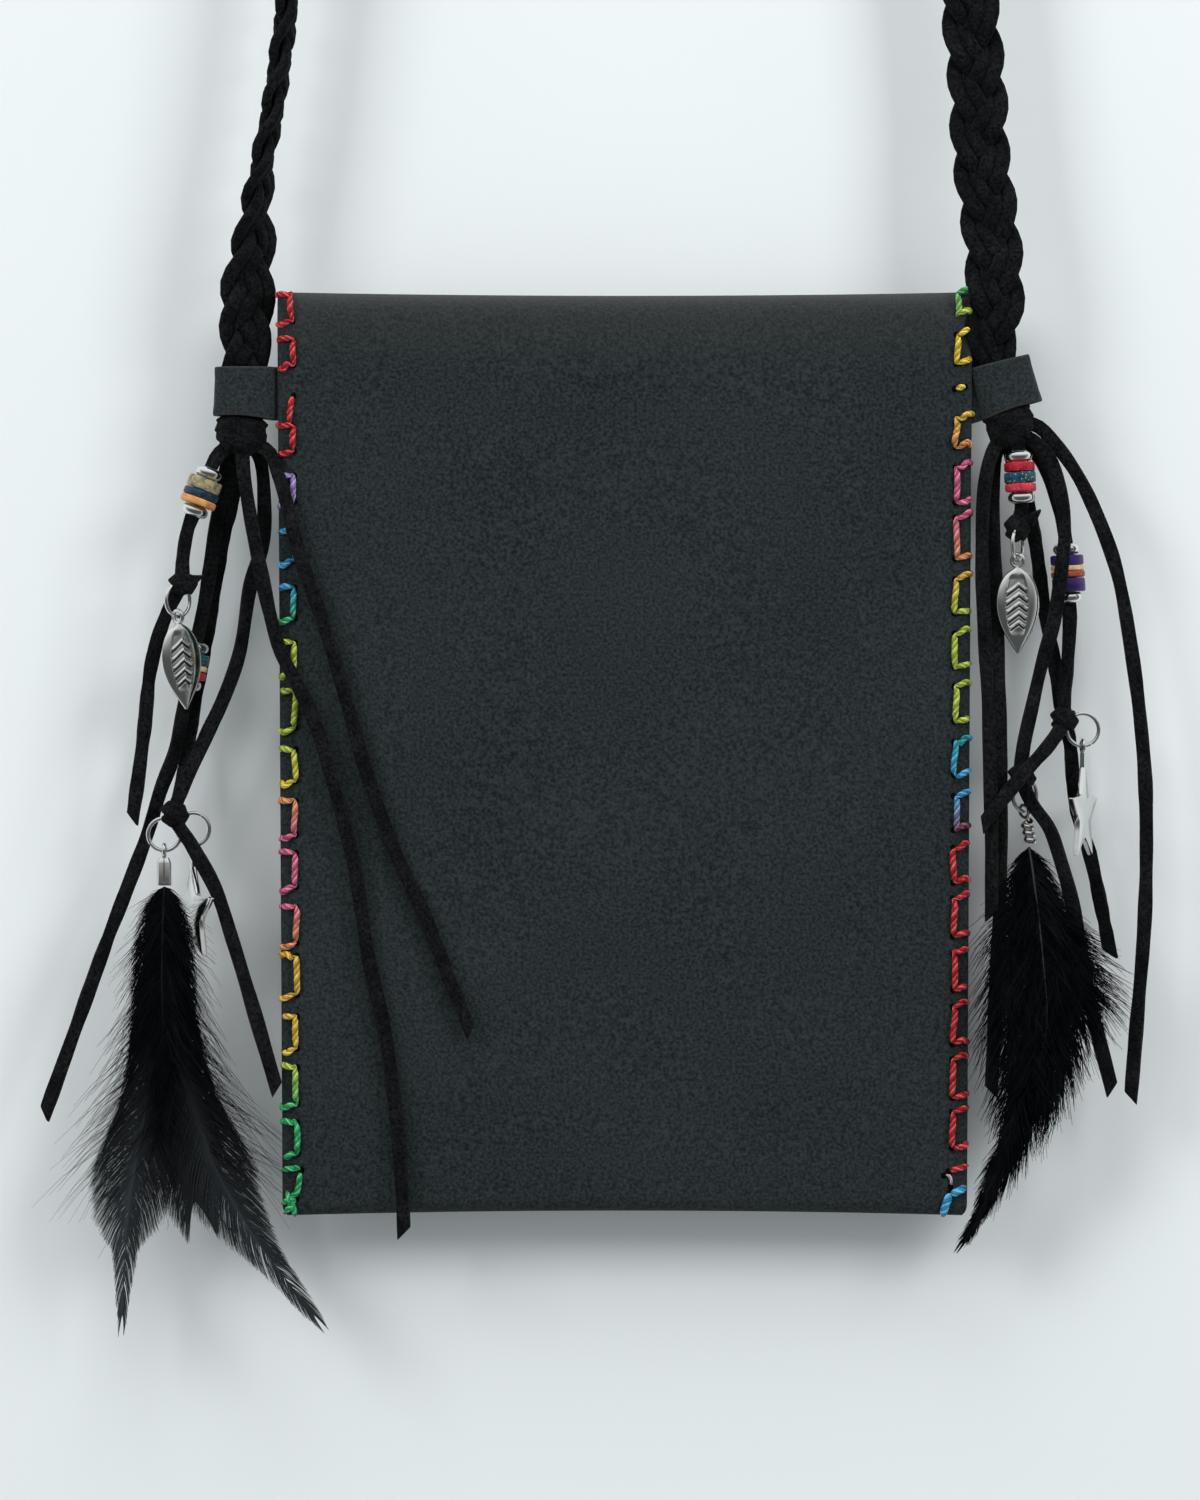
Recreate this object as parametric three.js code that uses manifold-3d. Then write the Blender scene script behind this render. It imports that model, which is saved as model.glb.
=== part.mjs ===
// A feathered shoulder bag: a flat leather pouch sewn at both sides, hung from a plaited suede strap.
// At each end of the strap a knot lets loose laces hang, with beads, silver charms and black feathers.
// Millimetres, +Z up, +X to the viewer's right, +Y away from the viewer.
// The origin is the point that the strap hangs from, under the top of its arch.

import * as THREE from "three";
import { mergeVertices } from "three/addons/utils/BufferGeometryUtils.js";
import Module from "manifold-3d";

const wasm = await Module();
wasm.setup();

// Driving dimensions

const HANG_DROP = 490; // hang point down to the top edge of the pouch
const POUCH_TOP_WIDTH = 151.4;
const POUCH_BOTTOM_WIDTH = 149.2;
const POUCH_HEIGHT = 201.5;
const LEATHER = 1.6; // wall of the pouch
const TAB_LEATHER = 1.4; // wall of the side tabs
const FLAP_LENGTH = 95; // from the top fold down the far side
const MOUTH_DROP = 14; // top edge of the pocket, below the top fold
const FLAP_ROOM = 5.2; // room between pocket and flap, mid-bag
const FLAP_ROOM_AT_SIDE = 2.1;
const TOP_FOLD_HEIGHT = 6;
const TOP_SAG = 0.7; // the top edge dips mid-bag
const BOTTOM_RISE = 1.0; // the bottom edge rises mid-bag
const BOTTOM_ROOM = 1.8; // inner half-room at the bottom fold, mid-bag
const SEAM_ROOM = 0.25; // inner half-room along a sewn side
const TAB_SEAM_ROOM = 1.7; // the same where the side is held apart by a tab and by the top fold

const STRAP_WIDTH = 12;
const STRAP_THICKNESS = 6;
const STRAP_ARCH_RADIUS = 26.5; // centreline of the arch over the hang point
const STRAP_LOBE_PITCH = 10.9; // one bulge of the plait to the next on the same edge
const STRAP_LOBE_DEPTH = 0.7; // how far a bulge stands out
const STRAP_FINE_HEIGHT = 60; // above this the plait's bulges are drawn at twice their pitch
const STRAP_WIDTH_IN_TAB = 10.0;
const STRAP_THICKNESS_IN_TAB = 5.2;

const TAB_HEIGHT = 10.2;
const TAB_TAIL_DEPTH = 4; // how far a tab reaches into the side seam
const TAB_TOP = -16; // upper edge of the tabs, from the pouch's top edge

const LACE_WIDTH = 3.0;
const LACE_THICKNESS = 1.5;
const LACE_STEP = 9; // spacing of a lace's sections

const BEAD_BORE = 2.1; // radius
const BEAD_GAP = 0.1;
const BEAD_SHOULDER = 0.6; // how much a silver bead narrows to its ends

const RING_RADIUS = 3.55; // centreline of a jump ring's wire
const RING_WIRE = 0.45; // radius of the wire
const EYE_RADIUS = 1.35; // centreline of a charm's eye
const EYE_WIRE = 0.45;

const CLEARANCE = 0.3; // gap between pieces that touch
const CUT_CLEARANCE = 0.45; // room cut into a lace round a knot or ring, whose facets vary

// Finishes

const NUBUCK = new THREE.MeshStandardMaterial({ color: 0x33393a, roughness: 0.9 });
const SUEDE = new THREE.MeshStandardMaterial({ color: 0x151515, roughness: 0.95 });
const SILVER = new THREE.MeshStandardMaterial({ color: 0xc9c9c6, roughness: 0.25, metalness: 1 });
const FEATHER = new THREE.MeshStandardMaterial({ color: 0x0d0e10, roughness: 0.6 });
const BEAD_FINISH = {
  silver: SILVER,
  sand: new THREE.MeshStandardMaterial({ color: 0xb6a987, roughness: 0.5 }),
  navy: new THREE.MeshStandardMaterial({ color: 0x1c3a55, roughness: 0.4 }),
  orange: new THREE.MeshStandardMaterial({ color: 0xd69a5c, roughness: 0.5 }),
  red: new THREE.MeshStandardMaterial({ color: 0xb8303a, roughness: 0.45 }),
  teal: new THREE.MeshStandardMaterial({ color: 0x1f6f88, roughness: 0.4 }),
  pink: new THREE.MeshStandardMaterial({ color: 0xc9485c, roughness: 0.45 }),
  cream: new THREE.MeshStandardMaterial({ color: 0xd9c7a2, roughness: 0.5 }),
  rust: new THREE.MeshStandardMaterial({ color: 0xa9532f, roughness: 0.5 }),
  violet: new THREE.MeshStandardMaterial({ color: 0x3c2a7a, roughness: 0.45 }),
};

const DEPTH = new THREE.Vector3(0, 1, 0);
const UP = new THREE.Vector3(0, 0, 1);

// The bag's own group has its origin in the middle of the pouch's top edge
const bag = new THREE.Group();
bag.position.z = -HANG_DROP;

function vec([x, y, z]) {
  return new THREE.Vector3(x, y, z);
}

function add(name, geometry, material) {
  const mesh = new THREE.Mesh(geometry, material);
  mesh.name = name;
  bag.add(mesh);
  return mesh;
}

// Closed bodies from points, and booleans

function bodyFromTriangles(points, triangles) {
  const geometry = new THREE.BufferGeometry();
  geometry.setAttribute("position", new THREE.Float32BufferAttribute(points.flatMap((p) => p.toArray()), 3));
  geometry.setIndex(triangles.flat());
  geometry.computeVertexNormals();
  return geometry;
}

// A body through rings of points, with a fan over each end; the rings turn clockwise seen from the start
function loft(rings) {
  const sides = rings[0].length;
  const points = rings.flat();
  const triangles = [];
  for (let r = 0; r + 1 < rings.length; r += 1) {
    for (let s = 0; s < sides; s += 1) {
      const here = r * sides + s;
      const beside = r * sides + ((s + 1) % sides);
      triangles.push([here, beside, here + sides], [beside, beside + sides, here + sides]);
    }
  }
  const last = (rings.length - 1) * sides;
  for (let s = 1; s + 1 < sides; s += 1) {
    triangles.push([0, s + 1, s], [last, last + s, last + s + 1]);
  }
  return bodyFromTriangles(points, triangles);
}

// A wall between two grids of points, closed along its four edges
function wall(outer, inner) {
  const rows = outer.length;
  const columns = outer[0].length;
  const points = [...outer.flat(), ...inner.flat()];
  const out = (r, c) => r * columns + c;
  const back = (r, c) => rows * columns + out(r, c);
  const triangles = [];
  const quad = (a, b, c, d) => triangles.push([a, c, b], [a, d, c]);
  for (let r = 0; r + 1 < rows; r += 1) {
    for (let c = 0; c + 1 < columns; c += 1) {
      quad(out(r, c), out(r + 1, c), out(r + 1, c + 1), out(r, c + 1));
      quad(back(r, c), back(r, c + 1), back(r + 1, c + 1), back(r + 1, c));
    }
    quad(out(r, 0), back(r, 0), back(r + 1, 0), out(r + 1, 0));
    quad(out(r, columns - 1), out(r + 1, columns - 1), back(r + 1, columns - 1), back(r, columns - 1));
  }
  for (let c = 0; c + 1 < columns; c += 1) {
    quad(out(0, c), out(0, c + 1), back(0, c + 1), back(0, c));
    quad(out(rows - 1, c), back(rows - 1, c), back(rows - 1, c + 1), out(rows - 1, c + 1));
  }
  return bodyFromTriangles(points, triangles);
}

function solid(geometry) {
  const bare = geometry.clone();
  bare.deleteAttribute("normal");
  bare.deleteAttribute("uv");
  const merged = mergeVertices(bare, 1e-4);
  return new wasm.Manifold(
    new wasm.Mesh({
      numProp: 3,
      vertProperties: new Float32Array(merged.attributes.position.array),
      triVerts: new Uint32Array(merged.index.array),
    }),
  );
}

function geometryOf(manifold) {
  const mesh = manifold.getMesh();
  const geometry = new THREE.BufferGeometry();
  geometry.setAttribute("position", new THREE.BufferAttribute(new Float32Array(mesh.vertProperties), 3));
  geometry.setIndex(new THREE.BufferAttribute(new Uint32Array(mesh.triVerts), 1));
  geometry.computeVertexNormals();
  return geometry;
}

function fuse(geometries) {
  return geometryOf(geometries.map(solid).reduce((sum, piece) => sum.add(piece)));
}

function cut(geometry, tools) {
  return geometryOf(tools.map(solid).reduce((left, tool) => left.subtract(tool), solid(geometry)));
}

function ellipsoid(centre, radii) {
  return new THREE.SphereGeometry(1, 8, 6).rotateX(Math.PI / 2).scale(...radii).translate(...centre);
}

// Pouch: one piece of leather, from the flap's edge over the top fold, down the near panel, round the
// bottom fold and up the far pocket panel to the mouth

const PANEL_ROWS = [
  { drop: 6, room: 3.2, seam: TAB_SEAM_ROOM },
  { drop: 13, room: 3.4, seam: TAB_SEAM_ROOM },
  { drop: 31, room: 3.8, seam: TAB_SEAM_ROOM },
  { drop: 39, room: 3.9, seam: SEAM_ROOM },
  { drop: 60, room: 4.05, seam: SEAM_ROOM },
  { drop: 140, room: 4.05, seam: SEAM_ROOM },
  { drop: 170, room: 3.6, seam: SEAM_ROOM },
  { drop: 190, room: 2.6, seam: SEAM_ROOM },
];
const FLAP_DROPS = [FLAP_LENGTH, 62, 31, TOP_FOLD_HEIGHT];
const STATIONS = [
  { across: -1, fullness: 0 },
  { across: -0.94, fullness: 0.25 },
  { across: -0.82, fullness: 0.62 },
  { across: -0.6, fullness: 1 },
  { across: 0, fullness: 1 },
  { across: 0.6, fullness: 1 },
  { across: 0.82, fullness: 0.62 },
  { across: 0.94, fullness: 0.25 },
  { across: 1, fullness: 0 },
];
const FOLD_ANGLES = [150, 120, 90, 60, 30].map(THREE.MathUtils.degToRad);

// Inner half-room of the pouch at a row or, between rows, at any drop
function halfRoom(drop, fullness) {
  const below = PANEL_ROWS.findIndex((row) => row.drop >= drop);
  const low = PANEL_ROWS[below];
  const high = PANEL_ROWS[Math.max(below - 1, 0)];
  const share = low === high ? 0 : (drop - high.drop) / (low.drop - high.drop);
  const room = THREE.MathUtils.lerp(high.room, low.room, share);
  const seam = THREE.MathUtils.lerp(high.seam, low.seam, share);
  return THREE.MathUtils.lerp(seam, room, fullness);
}

// Mid-wall line of the leather at one station, as [y, z] pairs
function pouchProfile({ across, fullness }) {
  const half = LEATHER / 2;
  const middle = 1 - across * across;
  const top = -TOP_SAG * middle;
  const bottom = -POUCH_HEIGHT + BOTTOM_RISE * middle;
  const nearY = (drop) => -(halfRoom(drop, fullness) + half);
  const flapGap = LEATHER + THREE.MathUtils.lerp(FLAP_ROOM_AT_SIDE, FLAP_ROOM, fullness);
  const flapY = (drop) => halfRoom(drop, fullness) + half + flapGap;
  const foldCentre = (nearY(TOP_FOLD_HEIGHT) + flapY(TOP_FOLD_HEIGHT)) / 2;
  const foldReach = (flapY(TOP_FOLD_HEIGHT) - nearY(TOP_FOLD_HEIGHT)) / 2;
  const bottomReach = THREE.MathUtils.lerp(SEAM_ROOM, BOTTOM_ROOM, fullness) + half;

  const flap = FLAP_DROPS.map((drop) => [flapY(drop), top - drop]);
  const topFold = FOLD_ANGLES.map((angle) => [
    foldCentre - foldReach * Math.cos(angle),
    top - TOP_FOLD_HEIGHT + (TOP_FOLD_HEIGHT - half) * Math.sin(angle),
  ]).reverse();
  const near = PANEL_ROWS.map(({ drop }) => [nearY(drop), top - drop]);
  const bottomFold = FOLD_ANGLES.map((angle) => [
    bottomReach * Math.cos(angle),
    bottom + half + bottomReach * (1 - Math.sin(angle)),
  ]);
  const pocketDrops = PANEL_ROWS.map(({ drop }) => drop).filter((drop) => drop > MOUTH_DROP);
  const pocket = [...pocketDrops.reverse(), MOUTH_DROP].map((drop) => [-nearY(drop), top - drop]);
  return [...flap, ...topFold, ...near, ...bottomFold, ...pocket];
}

function pouchGeometry() {
  const outer = [];
  const inner = [];
  for (const station of STATIONS) {
    const line = pouchProfile(station).map(([y, z]) => new THREE.Vector2(y, z));
    const outerRow = [];
    const innerRow = [];
    line.forEach((point, i) => {
      const before = line[Math.max(i - 1, 0)];
      const after = line[Math.min(i + 1, line.length - 1)];
      const along = after.clone().sub(before).normalize();
      const side = new THREE.Vector2(along.y, -along.x).multiplyScalar(LEATHER / 2);
      const share = Math.min(-point.y / POUCH_HEIGHT, 1);
      const width = THREE.MathUtils.lerp(POUCH_TOP_WIDTH, POUCH_BOTTOM_WIDTH, share);
      const x = (station.across * width) / 2;
      outerRow.push(new THREE.Vector3(x, point.x + side.x, point.y + side.y));
      innerRow.push(new THREE.Vector3(x, point.x - side.x, point.y - side.y));
    });
    outer.push(outerRow);
    inner.push(innerRow);
  }
  return wall(outer, inner);
}

add("pouch", pouchGeometry(), NUBUCK);

// Tabs: a doubled strip whose end opens into an oval loop round the plait

const TAB_LOOP = { reach: 5.4, depth: 3.5 }; // half-axes of the loop's hole
const TABS = [
  { name: "tab_left", side: -1, centre: [-82.8, 0, -21.8], tilt: 0 },
  { name: "tab_right", side: 1, centre: [83.0, 0, -20.4], tilt: 14 },
];

// The strip's edge-on outline, its loop round the local origin and its tail towards -X
function tabOutline() {
  const reach = TAB_LOOP.reach + TAB_LEATHER;
  const depth = TAB_LOOP.depth + TAB_LEATHER;
  const joint = Math.asin(TAB_LEATHER / depth);
  const tail = -(reach + TAB_TAIL_DEPTH);
  const outline = new THREE.Shape();
  outline.moveTo(tail, -TAB_LEATHER);
  outline.absellipse(0, 0, reach, depth, Math.PI + joint, Math.PI * 3 - joint, false, 0);
  outline.lineTo(tail, TAB_LEATHER);
  const hole = new THREE.Path();
  hole.absellipse(0, 0, TAB_LOOP.reach, TAB_LOOP.depth, 0, Math.PI * 2, true, 0);
  outline.holes.push(hole);
  return outline;
}

for (const { name, side, centre, tilt } of TABS) {
  const strip = new THREE.ExtrudeGeometry(tabOutline(), {
    depth: TAB_HEIGHT,
    bevelEnabled: false,
    curveSegments: 9,
  });
  strip.translate(0, 0, -TAB_HEIGHT / 2);
  const tab = add(name, strip, NUBUCK);
  tab.position.set(...centre);
  tab.rotation.y = THREE.MathUtils.degToRad(-tilt);
  if (side < 0) {
    tab.rotation.z = Math.PI;
  }
}

// Strap: a flat plait swept from knot to knot; its width turns edge-on towards the arch

const LEFT_LEG = [
  [-82.9, -26.6],
  [-82.8, -15],
  [-82.4, -7],
  [-82.2, 2],
  [-81.1, 9],
  [-80.6, 16],
  [-78.9, 29],
  [-76.1, 44],
];
const RIGHT_LEG = [
  [77, 44],
  [78, 32],
  [79.8, 20],
  [81.4, 8],
  [82.1, -3],
  [81.6, -10],
  [82.0, -16],
  [83.0, -20.6],
  [84.0, -25.2],
];
// Turn of the plait's width out of the picture plane, by height above the pouch's top edge
const LEFT_TURN = [
  { height: -12, degrees: 0 },
  { height: 60, degrees: 90 },
];
const RIGHT_TURN = [
  { height: 70, degrees: 0 },
  { height: 210, degrees: 90 },
];

function strapCurve() {
  const archCentre = HANG_DROP + STRAP_THICKNESS / 2 - STRAP_ARCH_RADIUS;
  const arch = [180, 150, 120, 90, 60, 30, 0].map((degrees) => {
    const angle = THREE.MathUtils.degToRad(degrees);
    return [Math.cos(angle) * STRAP_ARCH_RADIUS, archCentre + Math.sin(angle) * STRAP_ARCH_RADIUS];
  });
  const legs = [...LEFT_LEG, ...arch, ...RIGHT_LEG];
  return new THREE.CatmullRomCurve3(legs.map(([x, z]) => new THREE.Vector3(x, 0, z)), false, "centripetal");
}

function turnAt(height, [start, end]) {
  return THREE.MathUtils.degToRad(end.degrees) * THREE.MathUtils.smoothstep(height, start.height, end.height);
}

// Six-sided flat section; the left and right reaches differ where the plait bulges
function flatRing(centre, widthways, thickways, left, right, thickness) {
  const at = (w, t) => centre.clone().addScaledVector(widthways, w).addScaledVector(thickways, t);
  const rise = thickness / 2;
  return [
    at(right, 0),
    at(right / 2, rise),
    at(-left / 2, rise),
    at(-left, 0),
    at(-left / 2, -rise),
    at(right / 2, -rise),
  ];
}

// Shares of the plait's length at which it bulges, left and right by turns
function bulgeShares(curve) {
  const steps = Math.round(curve.getLength() / (STRAP_LOBE_PITCH / 2));
  const shares = [];
  for (let i = 0; i < steps; i += curve.getPointAt(i / steps).z > STRAP_FINE_HEIGHT ? 2 : 1) {
    shares.push(i / steps);
  }
  return [...shares, 1];
}

function strapGeometry() {
  const curve = strapCurve();
  const rings = bulgeShares(curve).map((share, i) => {
    const centre = curve.getPointAt(share);
    const tangent = curve.getTangentAt(share);
    const inPlane = new THREE.Vector3().crossVectors(tangent, DEPTH).normalize();
    const turn = turnAt(centre.z, share < 0.5 ? LEFT_TURN : RIGHT_TURN);
    const widthways = inPlane.clone().applyAxisAngle(tangent, turn);
    const thickways = new THREE.Vector3().crossVectors(tangent, widthways);
    const free = THREE.MathUtils.smoothstep(centre.z, TAB_TOP, TAB_TOP + STRAP_WIDTH);
    const width = THREE.MathUtils.lerp(STRAP_WIDTH_IN_TAB, STRAP_WIDTH - STRAP_LOBE_DEPTH, free);
    const thickness = THREE.MathUtils.lerp(STRAP_THICKNESS_IN_TAB, STRAP_THICKNESS, free);
    const bulge = (i % 2 ? 1 : -1) * (STRAP_LOBE_DEPTH / 2) * free;
    return flatRing(centre, widthways, thickways, width / 2 - bulge, width / 2 + bulge, thickness);
  });
  return loft(rings);
}

add("strap", strapGeometry(), SUEDE);

// Main knots: a rounded core with one wrap of lace slanting over it

const MAIN_KNOTS = {
  left: { centre: [-83.6, 0, -31.3], radii: [5.3, 4.3, 4.3], slant: 28 },
  right: { centre: [84.0, 0, -29.8], radii: [4.6, 4.2, 4.2], slant: -24 },
};

const WRAP_RADIUS = 1.0; // of the lace laid over a knot
const WRAP_INSET = 0.9; // its centreline, inside the knot's outer reach
const WRAP_SPREAD = 1.5; // it lies this much wider than it is thick

function knotGeometry({ centre, radii, slant }) {
  const wrap = new THREE.TorusGeometry(radii[0] - WRAP_INSET, WRAP_RADIUS, 4, 10);
  wrap.scale(1, radii[1] / radii[0], WRAP_SPREAD);
  wrap.rotateY(THREE.MathUtils.degToRad(slant));
  wrap.translate(...centre);
  return fuse([ellipsoid(centre, radii), wrap]);
}

function swollen({ centre, radii }, clearance) {
  return ellipsoid(centre, radii.map((radius) => radius + clearance));
}

for (const [side, knot] of Object.entries(MAIN_KNOTS)) {
  add(`knot_${side}`, knotGeometry(knot), SUEDE);
}

// Laces: flat suede strips that start inside a main knot and are cut back to its surface

class LaceCurve extends THREE.CatmullRomCurve3 {
  constructor(route) {
    super(route.map(vec), false, "centripetal");
  }

  // The flat side of a lace faces the viewer
  computeFrenetFrames(segments) {
    const frames = { tangents: [], normals: [], binormals: [] };
    for (let i = 0; i <= segments; i += 1) {
      const tangent = this.getTangentAt(i / segments);
      const binormal = new THREE.Vector3().crossVectors(tangent, DEPTH).normalize();
      frames.tangents.push(tangent);
      frames.binormals.push(binormal);
      frames.normals.push(new THREE.Vector3().crossVectors(binormal, tangent));
    }
    return frames;
  }
}

function laceSection() {
  const flat = LACE_WIDTH / 2 - LACE_THICKNESS / 4;
  const half = LACE_THICKNESS / 2;
  return new THREE.Shape([
    new THREE.Vector2(half, -flat),
    new THREE.Vector2(half, flat),
    new THREE.Vector2(half / 2, LACE_WIDTH / 2),
    new THREE.Vector2(-half / 2, LACE_WIDTH / 2),
    new THREE.Vector2(-half, flat),
    new THREE.Vector2(-half, -flat),
    new THREE.Vector2(-half / 2, -LACE_WIDTH / 2),
    new THREE.Vector2(half / 2, -LACE_WIDTH / 2),
  ]);
}

function stripAlong(route) {
  const curve = new LaceCurve(route);
  const steps = Math.max(3, Math.round(curve.getLength() / LACE_STEP));
  return new THREE.ExtrudeGeometry(laceSection(), { steps, bevelEnabled: false, extrudePath: curve });
}

// Each lace's route runs down from its main knot; tails are its other ends below its own small knot
const LACES = {
  left_leaf: {
    from: "left",
    route: [
      [-84.5, -1.0, -32.5], [-88.4, -1.5, -35.4], [-90.4, -1.6, -39], [-91.9, -1.7, -43],
      [-93.4, -1.8, -47],
      [-95.3, -1.7, -52.2], [-96.4, -1.5, -59], [-96.6, -1.3, -63.5], [-99.6, 0, -69.5], [-102, 0.4, -76],
      [-103.6, 0.5, -83], [-104.8, 0.4, -95], [-106, 0.2, -105], [-107.4, 0, -115],
    ],
    knot: { centre: [-96.4, -1.3, -63.8], radii: [3.1, 2.8, 2.6] },
    tails: [[[-96, -1.4, -63.8], [-94.6, -1.5, -63.5], [-92.9, -1.5, -63.4]]],
  },
  left_feather: {
    from: "left",
    route: [
      [-85, 1.2, -32], [-86.8, 2.4, -37.5], [-88.4, 3.8, -45], [-89.6, 4.4, -52], [-91.2, 4.7, -63.5],
      [-93, 5.1, -73], [-94.3, 5.2, -78.5], [-95.5, 5.2, -84.5], [-96.6, 5, -91], [-98.6, 4.4, -101],
      [-101.4, 4.0, -108.5], [-104.4, 3.6, -118.5], [-109.6, 2.6, -132.5], [-113.4, 2, -142.5],
      [-119.6, 1, -160], [-126.5, 0, -179.4],
    ],
  },
  left_star: {
    from: "left",
    route: [
      [-81.5, 0.6, -33], [-79.5, 1.0, -37], [-78.7, 0.9, -46], [-79, 0.6, -55], [-81.6, 0.2, -63.7],
      [-84.1, -0.1, -79], [-87.6, -0.3, -89], [-91, -0.5, -96.3], [-96.4, -0.6, -108.5],
      [-98.3, -0.6, -114.1],
      [-94.4, -2.1, -120.7], [-89.1, -2.1, -130.5], [-85.6, -2.2, -141], [-82.2, -2.9, -152],
      [-75.7, -3.6, -174],
    ],
    knot: { centre: [-98.3, -0.2, -114.0], radii: [3.2, 3.2, 3.0] },
    tails: [],
  },
  left_back: {
    from: "left",
    route: [
      [-83.6, 3, -32.5], [-84.4, 4.5, -37.4], [-85.8, 6, -45], [-87.6, 7.4, -52], [-89.8, 8.8, -63.7],
      [-91.7, 10.2, -75.4], [-93.6, 10.6, -85], [-95, 9, -94], [-95.9, 6.8, -101.5], [-97, 3.4, -108],
      [-98.3, 0.2, -114],
    ],
    ends: "left_star",
  },
  left_face_outer: {
    from: "left",
    route: [
      [-83.4, -1.6, -33], [-83.2, -2.8, -37.5], [-82.2, -3.4, -45], [-80.9, -3.8, -52.5],
      [-79.1, -4.2, -61.7],
      [-77.3, -4.6, -70], [-74.9, -5.2, -78.5], [-71.4, -5.9, -85.4], [-67.4, -6.5, -94],
      [-63, -6.9, -108.5],
      [-58.9, -7.1, -124.3], [-55.7, -7.2, -145], [-52.4, -7.2, -160], [-49.8, -7.2, -178],
      [-48.4, -7, -195],
      [-48, -7, -205],
    ],
  },
  left_face_inner: {
    from: "left",
    route: [
      [-81, -1.4, -33], [-77.4, -2.6, -35.2], [-75.6, -4.2, -39.6], [-73.9, -5, -45], [-70.7, -5.8, -57.6],
      [-65.7, -6.5, -71.7], [-60.7, -6.9, -88.5], [-56.5, -7.2, -103.5], [-50.7, -7.4, -120.2],
      [-43.9, -7.6, -135.2], [-37.2, -7.9, -152], [-33.5, -8.2, -161],
    ],
  },
  right_plain_short: {
    from: "right",
    route: [
      [82.2, -1.2, -31.5], [80.2, -2.2, -35], [78.6, -2.8, -41], [77.9, -3, -50], [77.8, -3.1, -60.2],
      [78.4, -3.4, -75], [79.1, -3.8, -90.2], [79.6, -4.2, -108.5], [79.8, -4.6, -122], [79.8, -4.8, -136],
    ],
  },
  right_plain_long: {
    from: "right",
    route: [
      [82.6, 1.2, -31.5], [80.8, 0.8, -36], [80.4, 0.2, -43], [80.4, -0.4, -52], [80.8, -0.8, -62],
      [81.3, -1.2, -76],
      [81.6, -1.7, -90.2], [82, -2.2, -108.5], [81.8, -2.6, -122], [81.5, -2.8, -136], [80.7, -2.9, -154.5],
      [79.8, -3, -174.5],
    ],
  },
  right_leaf: {
    from: "right",
    route: [
      [84.8, -0.8, -30.5], [85.6, -1.7, -33.5], [86.1, -2, -37.5], [86.4, -2, -42], [86.5, -2, -46],
      [86.1, -1.9, -49.4], [85.6, -1.8, -52],
    ],
    knot: { centre: [85.4, -1.8, -51.8], radii: [2.8, 2.7, 3.0] },
    tails: [[[85.8, -1.9, -51.2], [87.6, -2, -50.2], [89.8, -2, -49.4]]],
  },
  right_feather: {
    from: "right",
    route: [
      [86.2, 0, -31], [89.3, -0.6, -32.8], [92.6, -1, -36.4], [95, -1.3, -44], [95.9, -1.4, -52.8],
      [95.1, -1.5, -61.3],
      [93.5, -1.6, -72], [90.9, -1.6, -81.3], [88.8, -1.5, -90.5], [86.8, -1.4, -100], [86.5, -1.4, -105.7],
      [88.6, -2.6, -111.5], [92.4, -3.4, -117], [95, -3.6, -124.5], [97.4, -3.6, -133.3],
      [101.7, -3.3, -156.5],
      [106.1, -3, -174],
    ],
    knot: { centre: [86.5, -1.2, -105.9], radii: [3.1, 3.0, 2.9] },
    tails: [],
  },
  right_star: {
    from: "right",
    route: [
      [86, 1.2, -31.2], [89, 2.6, -34.2], [92.4, 4.0, -39.2], [95.3, 4.7, -47.8], [96.8, 4.9, -56.5],
      [97.2, 4.9, -63.7], [97.4, 4.7, -71], [96.9, 3.6, -80], [96, 2.2, -88], [95.8, 0.6, -93.5],
      [92.8, -2.8, -98.4],
      [89, -5.4, -102.6], [85.4, -6.3, -106.6], [81.6, -6.4, -111.4], [77.6, -6.4, -116.4],
    ],
    knot: { centre: [95.9, 1.2, -93.4], radii: [3.1, 3.2, 2.9] },
    tails: [
      [
        [96.2, 1.4, -94], [97.2, 2.2, -98], [97.8, 4, -103], [98.4, 6.6, -109], [99.8, 9, -115.5],
        [101.9, 9.9, -122], [104.8, 9.4, -135.4], [106.5, 8.8, -144.6],
      ],
    ],
  },
  right_back: {
    from: "right",
    route: [
      [83.6, 2.4, -31.8], [84.6, 4.2, -36], [87.6, 6.4, -43], [90, 7.6, -54.3], [91.8, 7.8, -67.4],
      [93.4, 7.4, -76.1],
      [94.6, 6, -84], [95.2, 4.4, -89], [95.9, 2, -92.8],
    ],
    ends: "right_star",
  },
  right_outer: {
    from: "right",
    route: [
      [85.8, 0.8, -28.6], [90, 1.2, -29.2], [94.2, 1.2, -33.4], [98.6, 1.1, -39.6], [102.2, 1, -46.7],
      [107.2, 0.8, -60.2], [110.6, 0.6, -78.3], [112.8, 0.4, -96.3], [113.7, 0.2, -110.2],
      [113.5, 0, -135.4],
      [111.6, 0, -161], [110.4, 0, -176],
    ],
  },
};

// Jump rings: each passes through a small knot and carries one charm or clamp at its lowest point
const RINGS = {
  ring_left_leaf: { lace: "left_leaf", centre: [-97.4, -2.0, -67.4], turn: 48 },
  ring_left_feather: { lace: "left_star", centre: [-100.4, -1.0, -118.4], turn: 0 },
  ring_left_star: { lace: "left_star", centre: [-94.2, 0.9, -117.3], turn: 0 },
  ring_right_leaf: { lace: "right_leaf", centre: [85.6, -2.4, -55.2], turn: 68 },
  ring_right_feather: { lace: "right_feather", centre: [87.2, -0.4, -109.8], turn: 40 },
  ring_right_star: { lace: "right_star", centre: [100.0, 1.0, -95.6], turn: 8 },
};

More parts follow.
